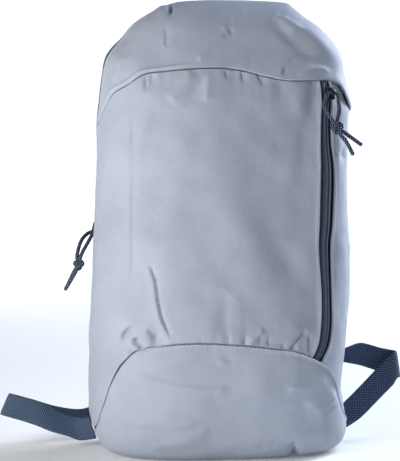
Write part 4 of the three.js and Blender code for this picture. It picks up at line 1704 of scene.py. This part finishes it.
@dataclass
class CordedPull:
    """A slider with a doubled cord, knotted below it, sizes in mm."""

    form: BagForm
    zip_name: str
    coil_lift: float
    diameter: float = 3.4
    slider_seat: float = 0.7
    leaving: tuple[Span, ...] = ((0.0, 0.0), (3.8, 0.0), (5.6, -1.9))
    samples: int = 12
    step: float = 0.7
    easings: int = 12
    knot_samples: int = 96
    knot_span: float = 2.6
    knot_swell: float = 1.05

    def build(self) -> list[Piece]:
        """Builds the slider, the two cords and their knot.

        Returns:
            The slider, the two cords and the knot.
        """
        route = PULL_ROUTES[self.zip_name]
        seat = self.form.seat(route.turn, route.z, self.coil_lift + self.slider_seat)
        slider = Slider(seat)
        pieces = [slider.build(f"{self.zip_name}_slider_casting", f"{self.zip_name}_zip_slider")]
        knot = self.build_knot(route)
        for label, side, strand, tail in zip("ab", (-1, 1), route.strands, route.tails):
            eye = [
                np.array(seat @ Vector((side * reach * MM, rise * MM, slider.eye_height * MM))) / MM
                for reach, rise in self.leaving
            ]
            through = centripetal(np.vstack((eye, strand, route.knot, tail)), self.samples)
            way = eased(even_way(through, self.step), self.easings)
            cord = tube_piece(f"{self.zip_name}_cord_{label}", way, self.diameter / 2)
            nodes = [f"{self.zip_name}_pull_strand_{label}", f"{self.zip_name}_pull_tail_{label}"]
            hand_over(cord, CORD, *nodes)
            pieces.append(cord)
        return [*pieces, knot]

    def build_knot(self, route: PullRoute) -> Piece:
        """Builds the overhand knot: cord a little thicker than the strands, wound through itself.

        Args:
            route: the pull's places.

        Returns:
            The finished knot.
        """
        t = np.linspace(0, 2 * np.pi, self.knot_samples, endpoint=False)
        size = (route.knot_radius - self.diameter / 2) / self.knot_span
        turns = (np.sin(t) + 2 * np.sin(2 * t), -0.9 * np.sin(3 * t), np.cos(t) - 2 * np.cos(2 * t))
        way = np.array(route.knot) + np.stack(turns, axis=-1) * size
        radius = self.diameter / 2 * self.knot_swell
        piece = tube_piece(f"{self.zip_name}_cord_knot", np.vstack((way, way[:2])), radius)
        return hand_over(piece, CORD, f"{self.zip_name}_pull_knot")


# Shoulder harness

class Station(NamedTuple):
    """One place on a strap, in mm: its middle, and the direction across, whose length scales the width."""

    at: Point
    across: Point


class PadStation(NamedTuple):
    """One place on a padded strap, in mm."""

    at: Point
    width: float
    thickness: float


WEBBING_WAYS = {
    Side.RIGHT: tuple(starmap(Station, (
        ((109, 13, 20), (0, 0, 1)), ((121, 16, 29), (-0.68, 0.1, 0.73)),
        ((137, 20, 43.5), (-0.68, 0.1, 0.73)), ((152, 24, 57.5), (-0.55, 0.08, 0.9)),
        ((161, 26.5, 66), (-0.17, 0, 1.14)), ((163.5, 29.5, 66.5), (-0.17, 0, 1.14)),
        ((160.5, 32.5, 67), (-0.1, 0, 1.12)), ((147, 36, 70), (0.2, 0, 1)),
        ((131, 42, 74), (0.15, 0.2, 0.95)), ((119, 54, 71), (0, 0.5, 0.55)),
        ((104, 70, 72), (0.15, 0.9, 0.3)), ((84, 78, 80), (0.3, 0.95, 0)),
        ((69, 79, 97), (0.85, 0.5, 0)), ((63, 76, 119.4), (1, 0, 0)),
    ))),
    Side.LEFT: tuple(starmap(Station, (
        ((-111.4, 13, 17.5), (-0.34, 0, 0.94)), ((-122, 17, 15.5), (0.05, 0.1, 0.95)),
        ((-132, 21, 18), (0.2, 0.6, 0.75)), ((-144, 22, 22), (0.3, 0.55, 0.78)),
        ((-156, 22, 28), (0.35, 0.2, 0.92)), ((-169, 23, 32.5), (0.3, 0, 0.97)),
        ((-184, 26, 36.5), (0.38, 0, 0.93)), ((-187.5, 29.5, 37), (0.4, 0, 0.92)),
        ((-184, 33, 35.5), (0.38, 0, 0.93)), ((-166, 37, 29.5), (0.3, 0, 0.95)),
        ((-142, 44, 21), (0.2, 0.1, 0.95)), ((-118, 56, 17.5), (0, 0.5, 0.75)),
        ((-102, 70, 24), (-0.2, 0.9, 0.35)), ((-80, 79, 48), (-0.3, 0.95, 0)),
        ((-66, 79, 86), (-0.85, 0.5, 0)), ((-63, 76, 119.4), (-1, 0, 0)),
    ))),
}
PAD_WAY = tuple(starmap(PadStation, (
    ((40, 49.4, 338), 46, 8), ((41, 64, 341), 47, 9), ((44, 82, 330), 48, 9), ((50, 95, 296), 48, 9),
    ((56, 98, 250), 46, 9), ((61, 91, 200), 40, 8), ((63, 81, 163), 31, 6), ((63, 76, 144.3), 26, 4),
)))


@dataclass
class Strip:
    """A closed strip along stations: a section of (across, out) shares swept along a way, in mm."""

    section: Array
    samples: int = 10

    def build(self, name: str, middles: Array, across: Array, widths: Array, depths: Array) -> Piece:
        """Builds the strip.

        Args:
            name: the piece's name.
            middles: the middle of each station.
            across: the direction across at each station, as long as its width's scale.
            widths: the width at each station.
            depths: the thickness at each station.

        Returns:
            The new piece, with a map across and along in metres.
        """
        middle = centripetal(middles, self.samples)
        wide = centripetal(across, self.samples)
        places = np.linspace(0, len(middles) - 1, len(middle))
        rows = np.arange(len(middles))
        width = Curve(rows, widths)(places)
        depth = Curve(rows, depths)(places)
        outward = unit(np.cross(np.gradient(middle, axis=0), wide))
        side = wide * width[:, None] / 2
        out = outward * depth[:, None] / 2
        points = middle[:, None] + self.section[:, :1] * side[:, None] + self.section[:, 1:] * out[:, None]
        faces = tube_faces(len(middle), len(self.section))
        flat_across, flat_along = np.meshgrid(self.section[:, 0] * np.mean(widths) / 2, run_of(middle))
        cloth_map = np.stack((flat_across, flat_along), axis=-1).reshape(-1, 2) * MM
        return new_piece(name, points.reshape(-1, 3), faces, cloth_map)


@dataclass
class WebbingStrap:
    """The navy webbing from the lower side seam to the buckle, sizes in mm."""

    side: Side
    width: float = 20.5
    thickness: float = 1.6
    columns: int = 10
    edge_thinning: float = 0.55
    edge_sharpness: float = 8

    def build(self) -> Piece:
        """Builds the strap with its woven, slightly thinner edges.

        Returns:
            The finished strap.
        """
        shares = np.linspace(-1, 1, self.columns + 1)
        edge = 1 - self.edge_thinning * np.abs(shares) ** self.edge_sharpness
        inner, outer = np.stack((shares, -edge), axis=-1), np.stack((shares, edge), axis=-1)
        middles, across = (np.array(values) for values in zip(*WEBBING_WAYS[self.side]))
        piece = Strip(np.vstack((inner, outer[::-1]))).build(
            f"strap_webbing_{self.side.label}", middles, across,
            np.full(len(middles), self.width), np.full(len(middles), self.thickness),
        )
        return hand_over(piece, WEBBING, f"strap_web_{self.side.label}")


@dataclass
class ShoulderPad:
    """A padded shoulder strap, bound round its edge, sizes in mm."""

    side: Side
    around: int = 40
    fill: float = 0.7
    side_power: float = 0.6
    face_power: float = 0.7
    groove_at: float = 0.8
    groove_width: float = 0.05
    groove_depth: float = 0.22

    def build(self) -> Piece:
        """Builds the pad: crowned on both faces, with a thin bound edge.

        Returns:
            The finished pad.
        """
        angle = np.arange(self.around) / self.around * 2 * np.pi
        across = np.sign(np.cos(angle)) * np.abs(np.cos(angle)) ** self.side_power
        out = np.sign(np.sin(angle)) * np.abs(np.sin(angle)) ** self.face_power
        from_groove = (np.abs(across) - self.groove_at) / self.groove_width
        groove = self.groove_depth * np.exp(-(from_groove ** 2)) * np.sign(out)
        middles, widths, depths = (np.array(values) for values in zip(*PAD_WAY))
        piece = Strip(np.stack((across, out - groove), axis=-1)).build(
            f"shoulder_pad_{self.side.label}", middles * (self.side.value, 1, 1),
            np.tile([1.0, 0.0, 0.0], (len(middles), 1)), widths, depths,
        )
        hand_over(piece, PAD_CLOTH, f"strap_pad_{self.side.label}")
        return piece


@dataclass
class LadderBuckle:
    """A plain moulded buckle with two slots and a bar, sizes in mm: X across the strap, Z along it."""

    side: Side
    centre: Point = (63, 76, 131.7)
    width: float = 30
    height: float = 24
    thickness: float = 4
    slot_width: float = 22
    slot_height: float = 4.5
    bar: float = 4
    rounding: float = 0.9

    def build(self) -> Piece:
        """Builds the frame from a grid: its slots are cut out, then it is extruded and its edges rounded.

        Returns:
            The finished buckle.
        """
        bpy.ops.object.select_all(action="DESELECT")
        bpy.ops.mesh.primitive_grid_add(x_subdivisions=3, y_subdivisions=5, size=1)
        piece = bpy.context.object
        piece.name = f"ladder_buckle_{self.side.label}"
        columns = (-self.width / 2, -self.slot_width / 2, self.slot_width / 2, self.width / 2)
        inner, outer = self.bar / 2, self.bar / 2 + self.slot_height
        rows = (-self.height / 2, -outer, -inner, inner, outer, self.height / 2)
        xs = sorted({round(v.co.x, 4) for v in piece.data.vertices})
        ys = sorted({round(v.co.y, 4) for v in piece.data.vertices})
        for vertex in piece.data.vertices:
            column, row = xs.index(round(vertex.co.x, 4)), ys.index(round(vertex.co.y, 4))
            vertex.co = (columns[column] * MM, -self.thickness / 2 * MM, rows[row] * MM)
        bpy.ops.object.mode_set(mode="EDIT")
        bpy.ops.mesh.select_mode(type="FACE")
        bpy.ops.mesh.select_all(action="DESELECT")
        bpy.ops.object.mode_set(mode="OBJECT")
        for polygon in piece.data.polygons:
            x, z = polygon.center.x / MM, abs(polygon.center.z) / MM
            polygon.select = abs(x) < self.slot_width / 2 and inner < z < outer
        bpy.ops.object.mode_set(mode="EDIT")
        bpy.ops.mesh.delete(type="FACE")
        bpy.ops.mesh.select_all(action="SELECT")
        bpy.ops.mesh.extrude_region_move(TRANSFORM_OT_translate={"value": (0, self.thickness * MM, 0)})
        bpy.ops.mesh.select_all(action="SELECT")
        bpy.ops.mesh.normals_make_consistent(inside=False)
        bpy.ops.object.mode_set(mode="OBJECT")
        rounded = piece.modifiers.new("rounded", "BEVEL")
        rounded.width = self.rounding * MM
        rounded.segments = 3
        rounded.limit_method = "ANGLE"
        bpy.ops.object.modifier_apply(modifier=rounded.name)
        bpy.ops.object.shade_smooth_by_angle(angle=SMOOTH_BELOW)
        x, y, z = self.centre
        piece.data.transform(Matrix.Translation(Vector((self.side.value * x, y, z)) * MM))
        return hand_over(piece, MOULDED_ACETAL, f"strap_buckle_{self.side.label}")


# Studio

class LampPlace(NamedTuple):
    """A soft rectangular lamp: where it stands and looks, in metres, its sides, power in watts and tint."""

    name: str
    at: Point
    towards: Point
    size: Span
    power: float
    tint: str


@dataclass
class Studio:
    """A pale floor that rises into a round backdrop, soft lamps, and the photograph's camera."""

    camera_at: Point = (-0.20512, -1.78033, 0.3799)
    camera_towards: Point = (-0.018, 0.0, 0.19175)
    lens: float = 162.1
    sensor: float = 36.0
    floor_rings: Span = (0.5, 1.5)
    floor_radius: float = 5.0
    floor_bend: float = 0.8
    floor_sides: int = 96
    bend_steps: int = 8
    wall_height: float = 1.1
    floor_colour: str = "#E2E4E7"
    near_glow: float = 0.12
    near_reach: Span = (0.3, 1.8)
    front_glow: float = 0.15
    back_glow: float = 1.1
    glow_depth: Span = (-0.5, 1.5)
    sky: str = "#DDE3EC"
    sky_strength: float = 0.02
    lamps: tuple[LampPlace, ...] = field(default_factory=lambda: (
        LampPlace("key", (-0.59, -0.52, 0.21), (0, 0, 0.2), (0.45, 0.75), 9.0, "#FFFDF9"),
        LampPlace("right_edge", (1.9, 1.15, 1.05), (0, 0, 0.2), (0.8, 1.2), 62, "#F4F9FF"),
        LampPlace("top", (0.55, 0.08, 1.25), (0, 0, 0.2), (0.4, 0.6), 3.8, "#DCE8FF"),
        LampPlace("shoulder", (0.75, 0.3, 0.95), (0, 0, 0.3), (0.3, 0.3), 6.6, "#DCE8FF"),
        LampPlace("back", (-0.6, 2.2, 0.9), (0, 0, 0.2), (1.4, 1.4), 10, "#FFFFFF"),
    ))

    def build(self) -> None:
        """Builds the floor, the lamps, the sky and the camera."""
        self.build_floor()
        for lamp in self.lamps:
            self.build_lamp(lamp)
        self.build_sky()
        self.build_camera()

    def build_floor(self) -> None:
        """Builds the floor: a disc whose edge sweeps up into a wall."""
        bend, flat = self.floor_bend, self.floor_radius - self.floor_bend
        profile = [(radius, 0.0) for radius in (*self.floor_rings, flat)]
        for step in range(1, self.bend_steps + 1):
            angle = step / self.bend_steps * math.pi / 2
            profile.append((flat + bend * math.sin(angle), bend - bend * math.cos(angle)))
        profile.append((self.floor_radius, self.wall_height))
        sides = self.floor_sides
        angles = np.arange(sides) / sides * 2 * np.pi
        circle = np.stack((np.cos(angles), np.sin(angles), np.zeros(sides)), axis=-1)
        rings = [radius * circle + (0, 0, height) for radius, height in profile]
        grid = Grid(np.array(rings) / MM, closed=True)
        points = np.vstack((grid.points.reshape(-1, 3), [[0, 0, 0]]))
        middle = [[len(points) - 1, i, (i + 1) % sides] for i in range(sides)]
        floor = new_piece("studio_floor", points, grid.faces()[:, ::-1].tolist() + middle)
        floor.data.materials.append(self.build_paper())

    def build_paper(self) -> bpy.types.Material:
        """Makes the matt paper, which glows a little and more so far behind the bag, for an even white.

        Returns:
            The floor's material.
        """
        paper = bpy.data.materials.new("matt_paper_backdrop")
        paper.use_nodes = True
        tree = paper.node_tree
        shader = tree.nodes["Principled BSDF"]
        shader.inputs["Base Color"].default_value = to_linear(self.floor_colour)
        shader.inputs["Roughness"].default_value = 0.9
        shader.inputs["Specular IOR Level"].default_value = 0.1
        shader.inputs["Emission Color"].default_value = to_linear(self.floor_colour)
        place = add_node(tree, "TexCoord")
        axes = add_node(tree, "SeparateXYZ", {0: place.outputs["Object"]})
        far = add_node(tree, "MapRange", {
            "Value": axes.outputs[1], "From Min": self.glow_depth[0], "From Max": self.glow_depth[1],
            "To Min": self.front_glow, "To Max": self.back_glow,
        }, interpolation_type="SMOOTHSTEP")
        distance = add_node(tree, "VectorMath", {0: place.outputs["Object"]}, operation="LENGTH")
        glow = add_node(tree, "MapRange", {
            "Value": distance.outputs["Value"], "To Min": self.near_glow, "To Max": far.outputs[0],
            "From Min": self.near_reach[0], "From Max": self.near_reach[1],
        }, interpolation_type="SMOOTHSTEP")
        tree.links.new(glow.outputs[0], shader.inputs["Emission Strength"])
        return paper

    def build_lamp(self, place: LampPlace) -> None:
        """Builds one soft lamp.

        Args:
            place: the lamp's place, size and light.
        """
        lamp = bpy.data.lights.new(place.name, "AREA")
        lamp.shape = "RECTANGLE"
        lamp.size, lamp.size_y = place.size
        lamp.energy = place.power
        lamp.color = to_linear(place.tint)[:3]
        holder = bpy.data.objects.new(place.name, lamp)
        bpy.context.collection.objects.link(holder)
        holder.location = place.at
        holder.rotation_euler = (Vector(place.towards) - Vector(place.at)).to_track_quat("-Z", "Y").to_euler()

    def build_sky(self) -> None:
        """Sets the even light from all round."""
        world = bpy.data.worlds.new("studio_sky")
        bpy.context.scene.world = world
        world.use_nodes = True
        sky = world.node_tree.nodes["Background"]
        sky.inputs["Color"].default_value = to_linear(self.sky)
        sky.inputs["Strength"].default_value = self.sky_strength

    def build_camera(self) -> None:
        """Sets the camera where the photograph was taken from, for its frame of 400 by 461."""
        lens = bpy.data.cameras.new("photo_camera")
        lens.sensor_fit = "VERTICAL"
        lens.sensor_height = self.sensor
        lens.lens = self.lens
        camera = bpy.data.objects.new("photo_camera", lens)
        bpy.context.collection.objects.link(camera)
        camera.location = self.camera_at
        way = Vector(self.camera_towards) - Vector(self.camera_at)
        camera.rotation_euler = way.to_track_quat("-Z", "Y").to_euler()
        bpy.context.scene.camera = camera
        bpy.context.scene.view_settings.view_transform = "Standard"


@dataclass
class Daypack:
    """The whole bag."""

    form: BagForm = field(default_factory=BagForm)
    zip_rise: Span = (98, 318)
    zip_margin: float = 1.7
    zip_cloth_lift: float = 0.6
    base_sweep: Span = (-46, 64)
    base_margin: float = 0.8
    base_cloth_lift: float = 1.5

    def build(self) -> None:
        """Builds every sub-assembly in order."""
        self.build_pulls()
        self.build_body()
        self.build_zips()
        self.build_harness()

    def build_body(self) -> None:
        """Builds the five cloth panels."""
        for panel in (FrontPanel, RightPanel, Hood, BasePanel, BackPanel):
            panel(self.form).build()

    def build_zips(self) -> None:
        """Builds the two zips and the rows of stitches beside the front one and along the base panel."""
        ZipTape(self.form).build_front()
        ZipTape(self.form).build_main()
        z = np.linspace(*self.zip_rise, 120)
        left, right = self.form.zip_left(z) - self.zip_margin, self.form.zip_right(z) + self.zip_margin
        for name, turn in (("left", left), ("right", right)):
            way = self.form.on_bag(turn, z)
            self.sew(f"front_zip_stitches_{name}", way, self.zip_cloth_lift, Stitching(TONAL_THREAD))
        turn = np.linspace(*self.base_sweep, 170)
        way = self.form.on_bag(turn, self.form.base_seam(turn) - self.base_margin)
        # Thick pale stitches: a real row of thread, whose paleness also stands in as painted highlight on the
        # rolled edge.
        bold = Stitching(PALE_THREAD_AND_HIGHLIGHT, length=2.8, pitch=3.7, radius=0.5)
        self.sew("base_seam_stitches", way, self.base_cloth_lift, bold)

    def sew(self, name: str, way: Array, lift: float, stitching: Stitching) -> None:
        """Sews a row of stitches onto the cloth.

        Args:
            name: the row's name.
            way: its points on the bag's form, in mm.
            lift: how far the flat cloth stands out from the form there.
            stitching: the thread and its stitch.
        """
        out = unit(way * np.array([1, 1, 0]))
        slack = Wrinkles().relief(way, np.zeros(len(way)))
        stitching.build(name, way + out * (lift + slack)[:, None], out)

    def build_pulls(self) -> None:
        """Builds the two corded pulls."""
        CordedPull(self.form, "front", coil_lift=0.3).build()
        CordedPull(self.form, "main", coil_lift=0.4).build()

    def build_harness(self) -> None:
        """Builds the straps, pads and buckles on both sides."""
        for side in Side:
            WebbingStrap(side).build()
            ShoulderPad(side).build()
            LadderBuckle(side).build()


def main() -> None:
    """Builds the studio and the daypack."""
    logging.basicConfig(level=logging.INFO, format="%(name)s: %(message)s")
    Studio().build()
    Daypack().build()


if __name__ == "__main__":
    main()
